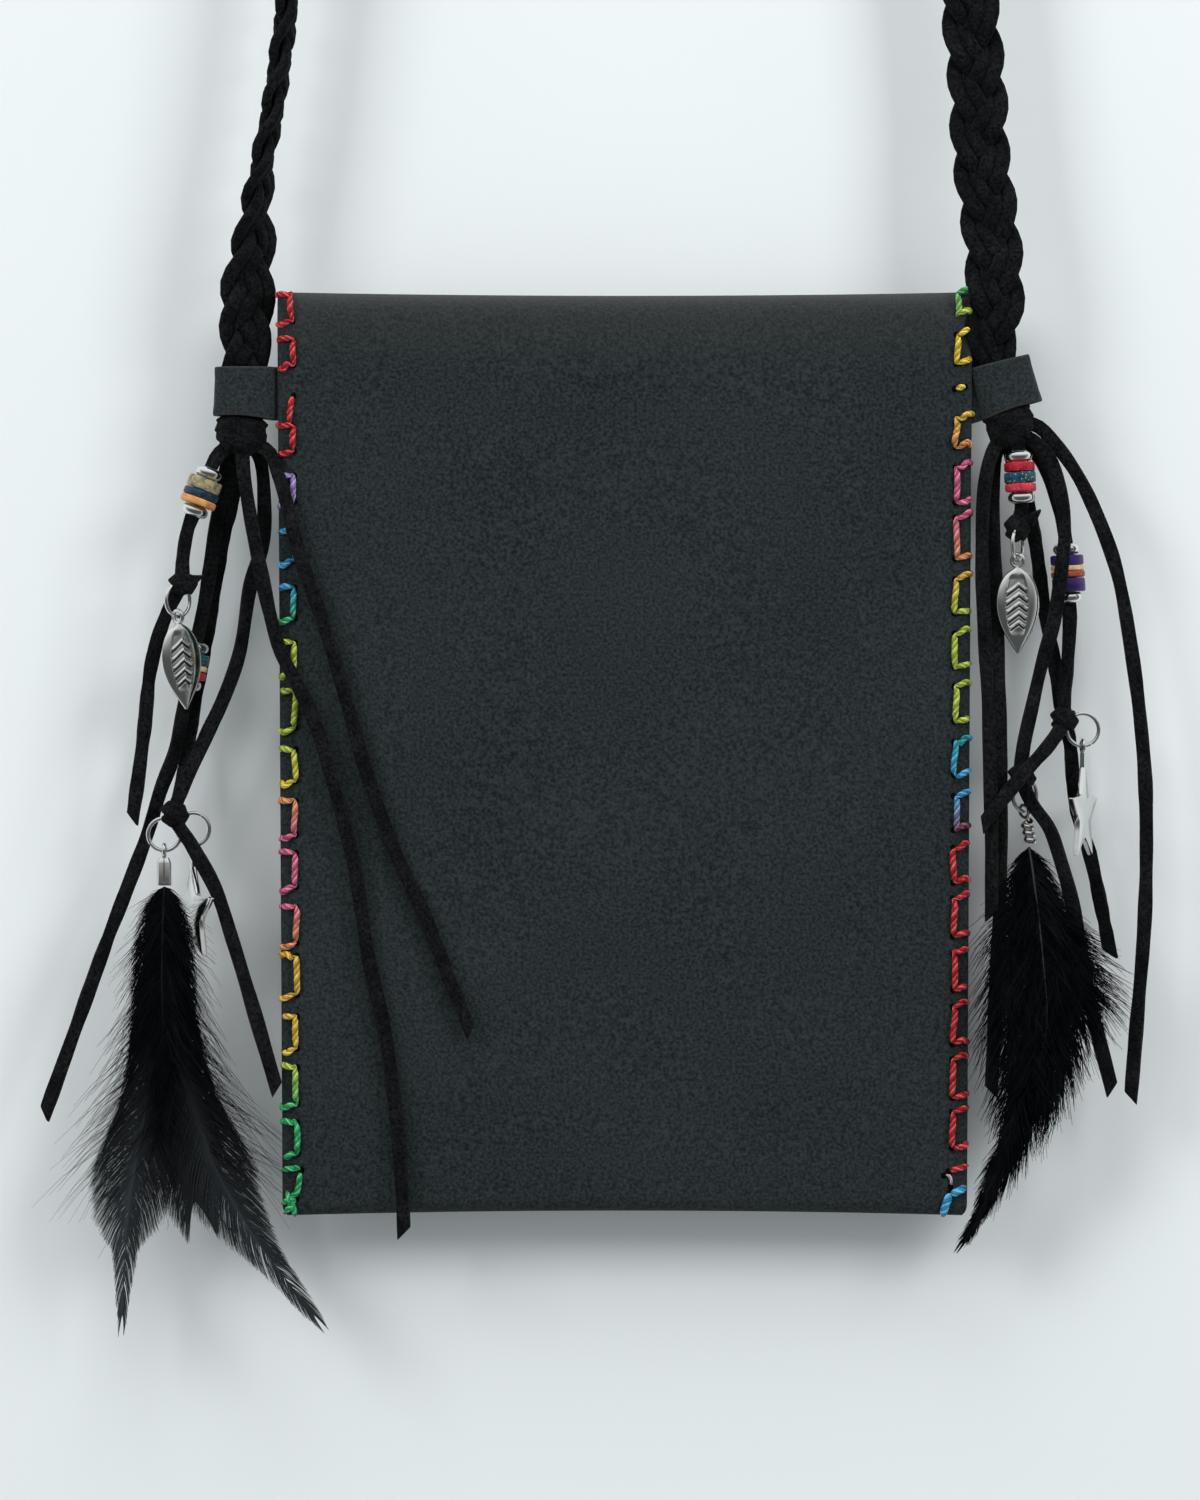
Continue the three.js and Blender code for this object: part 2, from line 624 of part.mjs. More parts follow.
function ringGeometry({ centre, turn }, wire, sides) {
  const ring = new THREE.TorusGeometry(RING_RADIUS, wire, sides, 10);
  ring.rotateX(Math.PI / 2);
  ring.rotateZ(THREE.MathUtils.degToRad(turn));
  ring.translate(...centre);
  return ring;
}

function laceGeometry(key, lace) {
  const strips = [lace.route, ...(lace.tails ?? [])].map(stripAlong);
  const knots = lace.knot ? [swollen(lace.knot, 0)] : [];
  const tools = [swollen(MAIN_KNOTS[lace.from], CUT_CLEARANCE)];
  for (const ring of Object.values(RINGS)) {
    if (ring.lace === key) {
      tools.push(ringGeometry(ring, RING_WIRE + CUT_CLEARANCE, 4));
    }
  }
  if (lace.ends) {
    tools.push(swollen(LACES[lace.ends].knot, CLEARANCE));
  }
  return cut(fuse([...strips, ...knots]), tools);
}

for (const [key, lace] of Object.entries(LACES)) {
  add(`lace_${key}`, laceGeometry(key, lace), SUEDE);
}
for (const [name, ring] of Object.entries(RINGS)) {
  add(name, ringGeometry(ring, RING_WIRE, 5), SILVER);
}

// Beads: drilled rounds and discs threaded on a lace, each with its length along the lace

const SILVER_BEAD = { finish: "silver", radius: 3.0, length: 2.4 };
const disc = (finish, length, radius) => ({ finish, radius, length });
const BEAD_STACKS = [
  {
    lace: "left_leaf",
    start: 8.6,
    beads: [
      SILVER_BEAD, disc("sand", 2.6, 3.85), disc("navy", 1.7, 3.85), disc("orange", 1.6, 3.95),
      SILVER_BEAD,
    ],
  },
  {
    lace: "left_feather",
    start: 45.6,
    beads: [
      SILVER_BEAD, disc("teal", 2.4, 3.6), disc("cream", 1.2, 3.6), disc("red", 1.8, 3.6),
      SILVER_BEAD,
    ],
  },
  {
    lace: "right_leaf",
    start: 4.6,
    beads: [
      SILVER_BEAD, disc("red", 2.0, 3.4), disc("teal", 2.4, 3.4), disc("pink", 1.8, 3.4),
      SILVER_BEAD,
    ],
  },
  {
    lace: "right_star",
    start: 27.0,
    beads: [
      SILVER_BEAD, disc("violet", 2.2, 3.65), disc("cream", 1.1, 3.65), disc("rust", 1.4, 3.65),
      disc("violet", 3.0, 3.65), SILVER_BEAD,
    ],
  },
];

function beadGeometry({ finish, radius, length }) {
  const half = length / 2;
  const shoulder = finish === "silver" ? radius - BEAD_SHOULDER : radius;
  const profile = [
    new THREE.Vector2(BEAD_BORE, -half),
    new THREE.Vector2(shoulder, -half),
    ...(finish === "silver" ? [new THREE.Vector2(radius, 0)] : []),
    new THREE.Vector2(shoulder, half),
    new THREE.Vector2(BEAD_BORE, half),
    new THREE.Vector2(BEAD_BORE, -half),
  ];
  return new THREE.LatheGeometry(profile, 10).rotateX(Math.PI / 2);
}

for (const { lace, start, beads } of BEAD_STACKS) {
  const curve = new LaceCurve(LACES[lace].route);
  const stackLength = beads.reduce((sum, bead) => sum + bead.length + BEAD_GAP, 0);
  const top = curve.getPointAt(start / curve.getLength());
  const bottom = curve.getPointAt((start + stackLength) / curve.getLength());
  const down = bottom.sub(top).normalize();
  let reached = 0;
  beads.forEach((bead, i) => {
    const mesh = add(`bead_${lace}_${i + 1}`, beadGeometry(bead), BEAD_FINISH[bead.finish]);
    mesh.position.copy(top).addScaledVector(down, reached + bead.length / 2);
    mesh.quaternion.setFromUnitVectors(UP, down.clone().negate());
    reached += bead.length + BEAD_GAP;
  });
}

// Charms and clamps hang by an eye from the lowest point of their ring

// An eye stands across its ring, whatever way its pendant faces
function eyeGeometry(turn) {
  const eye = new THREE.TorusGeometry(EYE_RADIUS, EYE_WIRE, 5, 10).rotateX(Math.PI / 2);
  return eye.rotateZ(THREE.MathUtils.degToRad(turn));
}

const LEAF_SECTIONS = [
  { drop: 1.4, half: 0.6, ridge: 0.5 },
  { drop: 3.2, half: 2.9, ridge: 0.9 },
  { drop: 6.5, half: 4.5, ridge: 1.2 },
  { drop: 10.5, half: 4.8, ridge: 1.3 },
  { drop: 14.5, half: 3.7, ridge: 1.1 },
  { drop: 18.0, half: 1.7, ridge: 0.8 },
  { drop: 20.2, half: 0.3, ridge: 0.4 },
];
const LEAF_BACK = 0.4; // the flat back of a leaf, behind its edges

function leafGeometry(eyeTurn) {
  const rings = LEAF_SECTIONS.map(({ drop, half, ridge }) =>
    [[half, 0], [0, -ridge], [-half, 0], [0, LEAF_BACK]].map(([x, y]) => new THREE.Vector3(x, y, -drop)),
  );
  return fuse([loft(rings), eyeGeometry(eyeTurn)]);
}

const STAR_RADIUS = 11.4;
const STAR_WAIST = 0.42; // inner corners, as a share of the radius
const STAR_THICKNESS = 1.3;
const STAR_CENTRE_DROP = 12.2; // eye down to the star's middle

function starGeometry(eyeTurn) {
  const outline = new THREE.Shape();
  for (let i = 0; i < 10; i += 1) {
    const radius = i % 2 ? STAR_RADIUS * STAR_WAIST : STAR_RADIUS;
    const angle = Math.PI / 2 + (i * Math.PI) / 5;
    outline[i ? "lineTo" : "moveTo"](Math.cos(angle) * radius, Math.sin(angle) * radius);
  }
  const plate = new THREE.ExtrudeGeometry(outline, { depth: STAR_THICKNESS, bevelEnabled: false });
  plate.translate(0, 0, -STAR_THICKNESS / 2).rotateX(Math.PI / 2).translate(0, 0, -STAR_CENTRE_DROP);
  return fuse([plate, eyeGeometry(eyeTurn)]);
}

const CLAMP_WIDTH = 3.0;
const CLAMP_DEPTH = 2.4;
const CLAMP_TOP_DROP = 1.5; // eye's middle down to the clamp's body
const CLAMP_BOTTOM_DROP = 7.6;

function clampGeometry(eyeTurn) {
  const height = CLAMP_BOTTOM_DROP - CLAMP_TOP_DROP;
  const body = new THREE.BoxGeometry(CLAMP_WIDTH, CLAMP_DEPTH, height);
  body.translate(0, 0, -(CLAMP_TOP_DROP + height / 2));
  return fuse([body, eyeGeometry(eyeTurn)]);
}

const PENDANTS = [
  { name: "leaf_left", ring: "ring_left_leaf", shape: leafGeometry, turn: 32, lean: -6 },
  { name: "leaf_right", ring: "ring_right_leaf", shape: leafGeometry, turn: 12, lean: 0 },
  { name: "star_left", ring: "ring_left_star", shape: starGeometry, turn: -64, lean: 0 },
  { name: "star_right", ring: "ring_right_star", shape: starGeometry, turn: 72, lean: 0 },
  { name: "clamp_left", ring: "ring_left_feather", shape: clampGeometry, turn: 0, lean: 0 },
  { name: "clamp_right", ring: "ring_right_feather", shape: clampGeometry, turn: 0, lean: 0 },
];

for (const { name, ring, shape, turn, lean } of PENDANTS) {
  const pendant = add(name, shape(RINGS[ring].turn - 90 - turn), SILVER);
  const [x, y, z] = RINGS[ring].centre;
  pendant.position.set(x, y, z - RING_RADIUS);
  pendant.rotation.order = "ZYX";
  pendant.rotation.z = THREE.MathUtils.degToRad(turn);
  pendant.rotation.y = THREE.MathUtils.degToRad(lean);
}

// Feathers: flat plumes fused at the quill end that goes into the clamp; half-widths run down each spine

const PLUME_THICKNESS = 3.2;
const PLUME_STEPS = 6;
const PLUME_ROUNDNESS = 1.6; // thickness over half-width where a plume is narrow
const FEATHERS = {
  feather_left: {
    clamp: "ring_left_feather",
    plumes: [
      {
        spine: [
          [0, 0, 0], [-0.6, -0.6, -12], [-1.6, -1, -30],
          [-4, -1.5, -52], [-7.6, -2, -76], [-9.4, -2.2, -98],
        ],
        halves: [1.0, 3.4, 5.4, 7.6, 6.0, 0.6],
      },
      {
        spine: [[0, 0, 0], [0.4, -1, -14], [1.6, -2, -34], [7, -3.4, -56], [18, -4.4, -78], [33, -5, -96]],
        halves: [1.0, 2.8, 4.6, 8.4, 6.2, 0.6],
      },
      {
        spine: [[0, 0, 0], [-2, 0.4, -16], [-7, 0.8, -36], [-14, 1, -52], [-20, 1, -62]],
        halves: [1.0, 3.2, 6.4, 5.4, 0.6],
      },
      {
        spine: [[0, 0, 0], [0.6, 0.2, -20], [2.4, 0, -44], [5, -0.6, -64], [6.4, -1, -78]],
        halves: [1.0, 3.6, 7.4, 5.6, 0.6],
      },
    ],
  },
  feather_right: {
    clamp: "ring_right_feather",
    plumes: [
      {
        spine: [
          [0, 0, 0], [2.4, 1, -14], [3.6, 2, -32],
          [1.6, 2.4, -54], [-5, 2.4, -76], [-12.6, 2.2, -94],
        ],
        halves: [1.0, 3.6, 6.2, 6.4, 4.2, 0.6],
      },
      {
        spine: [
          [0, 0, 0], [4.6, 1.4, -14], [10.6, 2.8, -28],
          [13.4, 3.4, -44], [10, 3.4, -62], [4.6, 3.2, -74],
        ],
        halves: [1.0, 3.4, 6.6, 6.6, 4.4, 0.6],
      },
      {
        spine: [[0, 0, 0], [-0.6, 1, -16], [-2.6, 2, -34], [-3, 2.4, -52], [-1, 2.6, -70]],
        halves: [1.0, 2.8, 4.4, 4.2, 0.6],
      },
    ],
  },
};

function plumeGeometry({ spine, halves }) {
  const curve = new THREE.CatmullRomCurve3(spine.map(vec), false, "centripetal");
  const rings = [];
  for (let i = 0; i <= PLUME_STEPS; i += 1) {
    const share = i / PLUME_STEPS;
    const place = share * (halves.length - 1);
    const row = Math.min(Math.floor(place), halves.length - 2);
    const half = THREE.MathUtils.lerp(halves[row], halves[row + 1], place - row);
    const tangent = curve.getTangent(share);
    const widthways = new THREE.Vector3().crossVectors(tangent, DEPTH).normalize();
    const thickways = new THREE.Vector3().crossVectors(tangent, widthways);
    const thickness = Math.min(PLUME_THICKNESS, half * PLUME_ROUNDNESS);
    rings.push(flatRing(curve.getPoint(share), widthways, thickways, half, half, thickness));
  }
  return loft(rings);
}

for (const [name, { clamp, plumes }] of Object.entries(FEATHERS)) {
  const feather = add(name, fuse(plumes.map(plumeGeometry)), FEATHER);
  const [x, y, z] = RINGS[clamp].centre;
  feather.position.set(x, y, z - RING_RADIUS - CLAMP_BOTTOM_DROP - CLEARANCE);
}

const shoulderBag = new THREE.Group();
shoulderBag.add(bag);

export default shoulderBag;
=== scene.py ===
"""Dresses a feathered shoulder bag: nubuck pouch, plaited suede strap, laces, beads, charms and plumes.

Metres, +Z up, +X to the viewer's right, +Y away from the viewer. The part's origin is the point that the
strap hangs from. Pieces are worked out in the bag's own frame, whose origin is the middle of the pouch's
top edge, and are moved down to it when their meshes are made.
"""

import logging
import math
from collections.abc import Sequence
from dataclasses import dataclass, field
from enum import Enum

import bmesh
import bpy
import numpy as np
from mathutils import Matrix, Vector


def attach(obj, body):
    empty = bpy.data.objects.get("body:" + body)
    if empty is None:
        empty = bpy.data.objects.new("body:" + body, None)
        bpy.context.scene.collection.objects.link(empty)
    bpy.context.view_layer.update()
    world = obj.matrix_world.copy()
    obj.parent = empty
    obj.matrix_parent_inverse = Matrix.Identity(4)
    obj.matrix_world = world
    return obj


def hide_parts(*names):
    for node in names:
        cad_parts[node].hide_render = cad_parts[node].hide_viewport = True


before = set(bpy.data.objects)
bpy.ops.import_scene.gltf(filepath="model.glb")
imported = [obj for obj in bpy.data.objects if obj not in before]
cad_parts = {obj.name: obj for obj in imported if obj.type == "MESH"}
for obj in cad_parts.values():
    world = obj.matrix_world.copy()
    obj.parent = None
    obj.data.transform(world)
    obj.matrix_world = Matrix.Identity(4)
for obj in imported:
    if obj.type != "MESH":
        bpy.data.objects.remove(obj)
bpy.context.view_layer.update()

log = logging.getLogger("shoulder_bag")

Point = tuple[float, float, float]
Colour = tuple[float, float, float]
Material = bpy.types.Material
Mesh = bpy.types.Mesh
Socket = bpy.types.NodeSocket

MM = 0.001
BODY = "root"
BAG_TOP = np.array((0.0, 0.0, -0.490))  # the pouch's top edge, from the hang point
DEPTH = np.array((0.0, 1.0, 0.0))  # straight away from the viewer
CURVE_STEPS = 24  # samples between two given points of a line
SMOOTH_ANGLE = math.radians(38)  # sharper edges than this stay crisp


# Lines and closed skins


def distances(line: np.ndarray) -> np.ndarray:
    """How far along a line each of its points is."""
    return np.concatenate([[0.0], np.cumsum(np.linalg.norm(np.diff(line, axis=0), axis=1))])


def even_line(line: np.ndarray, step: float) -> np.ndarray:
    """Samples a line at even distances.

    Args:
        line: Points along the line.
        step: Wanted distance between samples.

    Returns:
        The samples, with both ends of the line among them.
    """
    along = distances(line)
    count = max(3, int(round(along[-1] / step)) + 1)
    marks = np.linspace(0.0, along[-1], count)
    return np.column_stack([np.interp(marks, along, line[:, axis]) for axis in range(3)])


def smooth_line(knots: Sequence[Point], step: float) -> np.ndarray:
    """Runs a centripetal Catmull-Rom curve through given points.

    Args:
        knots: The points, in order.
        step: Wanted distance between the samples that come back.

    Returns:
        Even samples of the curve.
    """
    marks = np.asarray(knots, float)
    ends = np.vstack([2 * marks[0] - marks[1], marks, 2 * marks[-1] - marks[-2]])
    share = np.linspace(0.0, 1.0, CURVE_STEPS, endpoint=False)[:, None]
    stretches = []
    for before, start, end, after in zip(ends, ends[1:], ends[2:], ends[3:]):
        lead = math.sqrt(np.linalg.norm(start - before))
        span = math.sqrt(np.linalg.norm(end - start))
        rest = math.sqrt(np.linalg.norm(after - end))
        leave = (start - before) / lead - (end - before) / (lead + span) + (end - start) / span
        reach = (end - start) / span - (after - start) / (span + rest) + (after - end) / rest
        leave, reach = leave * span, reach * span
        square = -3 * start + 3 * end - 2 * leave - reach
        cube = 2 * start - 2 * end + leave + reach
        stretches.append(start + leave * share + square * share**2 + cube * share**3)
    return even_line(np.vstack([*stretches, marks[-1:]]), step)


def length_of(line: np.ndarray) -> float:
    """Length of a line of points."""
    return float(np.linalg.norm(np.diff(line, axis=0), axis=1).sum())


def unit(vectors: np.ndarray) -> np.ndarray:
    """The same directions with length 1."""
    return vectors / np.linalg.norm(vectors, axis=-1, keepdims=True)


def ease(value: np.ndarray | float, start: float, end: float) -> np.ndarray | float:
    """Smooth step from 0 at start to 1 at end."""
    share = np.clip((value - start) / (end - start), 0.0, 1.0)
    return share * share * (3 - 2 * share)


def eased_table(value: np.ndarray, marks: Sequence[float], heights: Sequence[float]) -> np.ndarray:
    """Reads a short table with soft steps between its rows.

    Args:
        value: Where to read.
        marks: The rows' places, rising.
        heights: The rows' values.

    Returns:
        The values read.
    """
    result = np.full(np.shape(value), float(heights[0]))
    for low, high, start, end in zip(marks, marks[1:], heights, heights[1:]):
        result = result + (end - start) * ease(value, low, high)
    return result


def flat_section(width: float, thickness: float, sides: int = 12, squareness: float = 0.45) -> np.ndarray:
    """Outline of a flat strip with rounded edges, its first half above its second half.

    Args:
        width: Whole width.
        thickness: Whole thickness.
        sides: Number of points, even.
        squareness: 1 for an ellipse, towards 0 for a rectangle.

    Returns:
        Points as widthways and thickways pairs.
    """
    angles = math.pi - (np.arange(sides) + 0.5) * math.tau / sides
    across, up = np.cos(angles), np.sin(angles)
    across = np.sign(across) * np.abs(across) ** squareness * width / 2
    up = np.sign(up) * np.abs(up) ** squareness * thickness / 2
    return np.column_stack([across, up])


@dataclass
class Skin:
    """A surface as points and faces in the bag's frame, with a UV and named values at its points."""

    points: np.ndarray
    faces: list[tuple[int, ...]]
    uv: np.ndarray
    values: dict[str, np.ndarray] = field(default_factory=dict)

    def moved(self, matrix: Matrix) -> "Skin":
        """The same skin, turned and shifted.

        Args:
            matrix: The turn and the shift.

        Returns:
            The moved skin.
        """
        turn = np.array(matrix.to_3x3())
        shift = np.array(matrix.translation)
        return Skin(self.points @ turn.T + shift, self.faces, self.uv, self.values)

    def mesh(self, name: str) -> Mesh:
        """Makes the skin a mesh in the part's frame, with its faces pointing out.

        Args:
            name: The mesh's name.

        Returns:
            The mesh.
        """
        mesh = bpy.data.meshes.new(name)
        mesh.from_pydata((self.points + BAG_TOP).tolist(), [], self.faces)
        corners = np.empty(len(mesh.loops), np.int32)
        mesh.loops.foreach_get("vertex_index", corners)
        layer = mesh.uv_layers.new(name="UVMap")
        layer.data.foreach_set("uv", self.uv[corners].astype(np.float32).ravel())
        for label, values in self.values.items():
            attribute = mesh.attributes.new(label, "FLOAT", "POINT")
            attribute.data.foreach_set("value", values.astype(np.float32))
        shell = bmesh.new()
        shell.from_mesh(mesh)
        bmesh.ops.recalc_face_normals(shell, faces=shell.faces)
        shell.to_mesh(mesh)
        shell.free()
        return mesh


def tube(rings: np.ndarray, closed: bool = False, values: dict[str, np.ndarray] | None = None) -> Skin:
    """Skin through rings of points; an open tube's ends are closed strip by strip.

    Args:
        rings: Ring by point by axis, each ring's first half facing its second half.
        closed: Whether the last ring joins the first.
        values: Named values at the points of one ring, or ring by point.

    Returns:
        The skin, with a UV of the way round and the distance along.
    """
    count, sides, _ = rings.shape
    faces = []
    for here in range(count if closed else count - 1):
        start, end = here * sides, (here + 1) % count * sides
        for side in range(sides):
            beside = (side + 1) % sides
            faces.append((start + side, start + beside, end + beside, end + side))
    if not closed:
        for start in (0, (count - 1) * sides):
            for side in range(sides // 2 - 1):
                facing = start + sides - 1 - side
                faces.append((start + side, start + side + 1, facing - 1, facing))
    along = distances(rings.mean(axis=1))
    round_share = np.tile(np.arange(sides) / sides, count)
    uv = np.column_stack([round_share, np.repeat(along, sides)])
    named = {}
    for label, value in (values or {}).items():
        named[label] = np.broadcast_to(value, (count, sides)).ravel()
    return Skin(rings.reshape(-1, 3), faces, uv, named)


def joined(skins: Sequence[Skin]) -> Skin:
    """Puts several skins into one; a value that a skin lacks is 0 on it.

    Args:
        skins: The skins, in order.

    Returns:
        The joined skin.
    """
    faces, start = [], 0
    for skin in skins:
        faces.extend(tuple(corner + start for corner in face) for face in skin.faces)
        start += len(skin.points)
    labels = {label for skin in skins for label in skin.values}
    values = {}
    for label in sorted(labels):
        values[label] = np.concatenate([s.values.get(label, np.zeros(len(s.points))) for s in skins])
    return Skin(np.vstack([s.points for s in skins]), faces, np.vstack([s.uv for s in skins]), values)


def sweep(
    line: np.ndarray,
    widthways: np.ndarray,
    section: np.ndarray,
    breadth: np.ndarray | float = 1.0,
    closed: bool = False,
    skew: tuple[float, float] = (0.0, 0.0),
) -> Skin:
    """Sweeps a strip's section along a line.

    Args:
        line: Points of the middle line.
        widthways: The strip's width direction at each point.
        section: Outline from flat_section.
        breadth: Scale of the section at each point.
        closed: Whether the line comes back to its start.
        skew: How far the first and last cuts slant along the line, for each unit of width.

    Returns:
        The skin, with its nearness to the strip's edges as the value "edge".
    """
    if closed:
        along = unit(np.roll(line, -1, axis=0) - np.roll(line, 1, axis=0))
    else:
        along = unit(np.gradient(line, axis=0))
    wide = unit(widthways - along * (widthways * along).sum(axis=1, keepdims=True))
    thick = np.cross(along, wide)
    scale = np.broadcast_to(breadth, (len(line),))[:, None, None]
    rings = line[:, None] + scale * (wide[:, None] * section[:, :1] + thick[:, None] * section[:, 1:])
    for ring, slant in zip((0, -1), skew):
        rings[ring] += along[ring] * section[:, :1] * slant
    nearness = np.abs(section[:, 0]) / np.abs(section[:, 0]).max()
    return tube(rings, closed, {"edge": nearness})


def turned_profile(profile: Sequence[tuple[float, float]], segments: int) -> Skin:
    """Turns a closed profile round the Z axis.

    Args:
        profile: Radius and height pairs round the section, first half facing its second half.
        segments: Number of steps round.

    Returns:
        The ring-shaped skin.
    """
    section = np.asarray(profile, float)
    angles = np.arange(segments) * math.tau / segments
    rings = np.stack(
        [
            np.column_stack([section[:, 0] * math.cos(a), section[:, 0] * math.sin(a), section[:, 1]])
            for a in angles
        ]
    )
    return tube(rings, closed=True)


def wire_ring(radius: float, wire: float, opening: float = 0.0, start: float = 0.0) -> Skin:
    """A ring of round wire in the XZ plane, whole or with a small opening.

    Args:
        radius: Of the wire's middle line.
        wire: Radius of the wire.
        opening: Angle left open, 0 for a whole ring.
        start: Direction of the opening.

    Returns:
        The skin.
    """
    steps = 44
    angles = start + opening / 2 + np.linspace(0.0, math.tau - opening, steps, endpoint=opening > 0)
    outward = np.column_stack([np.cos(angles), np.zeros(steps), np.sin(angles)])
    return sweep(outward * radius, outward, flat_section(2 * wire, 2 * wire, 10, 1.0), closed=opening == 0)


def shown(name: str, data: bpy.types.ID) -> bpy.types.Object:
    """A new object in the scene.

    Args:
        name: The object's name.
        data: Its mesh, lens or light.

    Returns:
        The object.
    """
    item = bpy.data.objects.new(name, data)
    bpy.context.scene.collection.objects.link(item)
    return item


def present(
    name: str, shape: Skin | Mesh, finish: Material, stands_for: Sequence[str] = ()
) -> bpy.types.Object:
    """Shows a shape as a finished piece of the bag.

    Args:
        name: The piece's name.
        shape: A skin in the bag's frame, or a mesh in the part's frame.
        finish: Its material.
        stands_for: CAD nodes that the piece replaces.

    Returns:
        The piece's object.
    """
    mesh = shape.mesh(name) if isinstance(shape, Skin) else shape
    mesh.materials.clear()
    mesh.materials.append(finish)
    mesh.shade_smooth()
    mesh.set_sharp_from_angle(angle=SMOOTH_ANGLE)
    piece = shown(name, mesh)
    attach(piece, BODY)
    if stands_for:
        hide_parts(*stands_for)
    log.info("%s: %d triangles", name, sum(len(face.vertices) - 2 for face in mesh.polygons))
    return piece


# Node trees


class NodeSketch:
    """Adds nodes to a tree and links them, for finishes and meshes alike."""

    def __init__(self, tree: bpy.types.NodeTree) -> None:
        """Keeps the tree that the nodes go into."""
        self.tree = tree

    def feed(self, socket: Socket, value: object) -> None:
        """Links another node's output to a socket, or sets a plain value.

        Args:
            socket: The input.
            value: An output or a plain value.
        """
        if isinstance(value, Socket):
            self.tree.links.new(value, socket)
        else:
            socket.default_value = value

    def add(self, kind: str, inputs: dict[str, object] | None = None, **settings: object) -> bpy.types.Node:
        """Adds one node.

        Args:
            kind: Blender's name of the node.
            inputs: Values or outputs for its inputs, by name.
            settings: Its properties.

        Returns:
            The node.
        """
        node = self.tree.nodes.new(kind)
        for name, value in settings.items():
            setattr(node, name, value)
        for name, value in (inputs or {}).items():
            self.feed(node.inputs[name], value)
        return node

    def number(self, operation: str, *terms: object) -> Socket:
        """A sum on numbers, such as MULTIPLY.

        Args:
            operation: Blender's name of the sum.
            terms: Outputs or plain numbers.

        Returns:
            The result.
        """
        node = self.add("ShaderNodeMath", operation=operation)
        for socket, term in zip(node.inputs, terms):
            self.feed(socket, term)
        return node.outputs[0]

    def plus(self, first: object, second: object) -> Socket:
        """Two numbers added."""
        return self.number("ADD", first, second)

    def minus(self, first: object, second: object) -> Socket:
        """The second number taken from the first."""
        return self.number("SUBTRACT", first, second)

    def times(self, first: object, second: object) -> Socket:
        """Two numbers multiplied."""
        return self.number("MULTIPLY", first, second)

    def over(self, first: object, second: object) -> Socket:
        """The first number divided by the second."""
        return self.number("DIVIDE", first, second)

    def vector(self, operation: str, *terms: object) -> Socket:
        """A sum on vectors, such as CROSS_PRODUCT.

        Args:
            operation: Blender's name of the sum.
            terms: Outputs or plain vectors.

        Returns:
            The result.
        """
        node = self.add("ShaderNodeVectorMath", operation=operation)
        for socket, term in zip(node.inputs, terms):
            self.feed(socket, term)
        return node.outputs["Vector"]

    def scaled(self, vector: object, amount: object) -> Socket:
        """A vector times a number.

        Args:
            vector: The vector.
            amount: The number.

        Returns:
            The scaled vector.
        """
        node = self.add("ShaderNodeVectorMath", {"Scale": amount}, operation="SCALE")
        self.feed(node.inputs[0], vector)
        return node.outputs["Vector"]


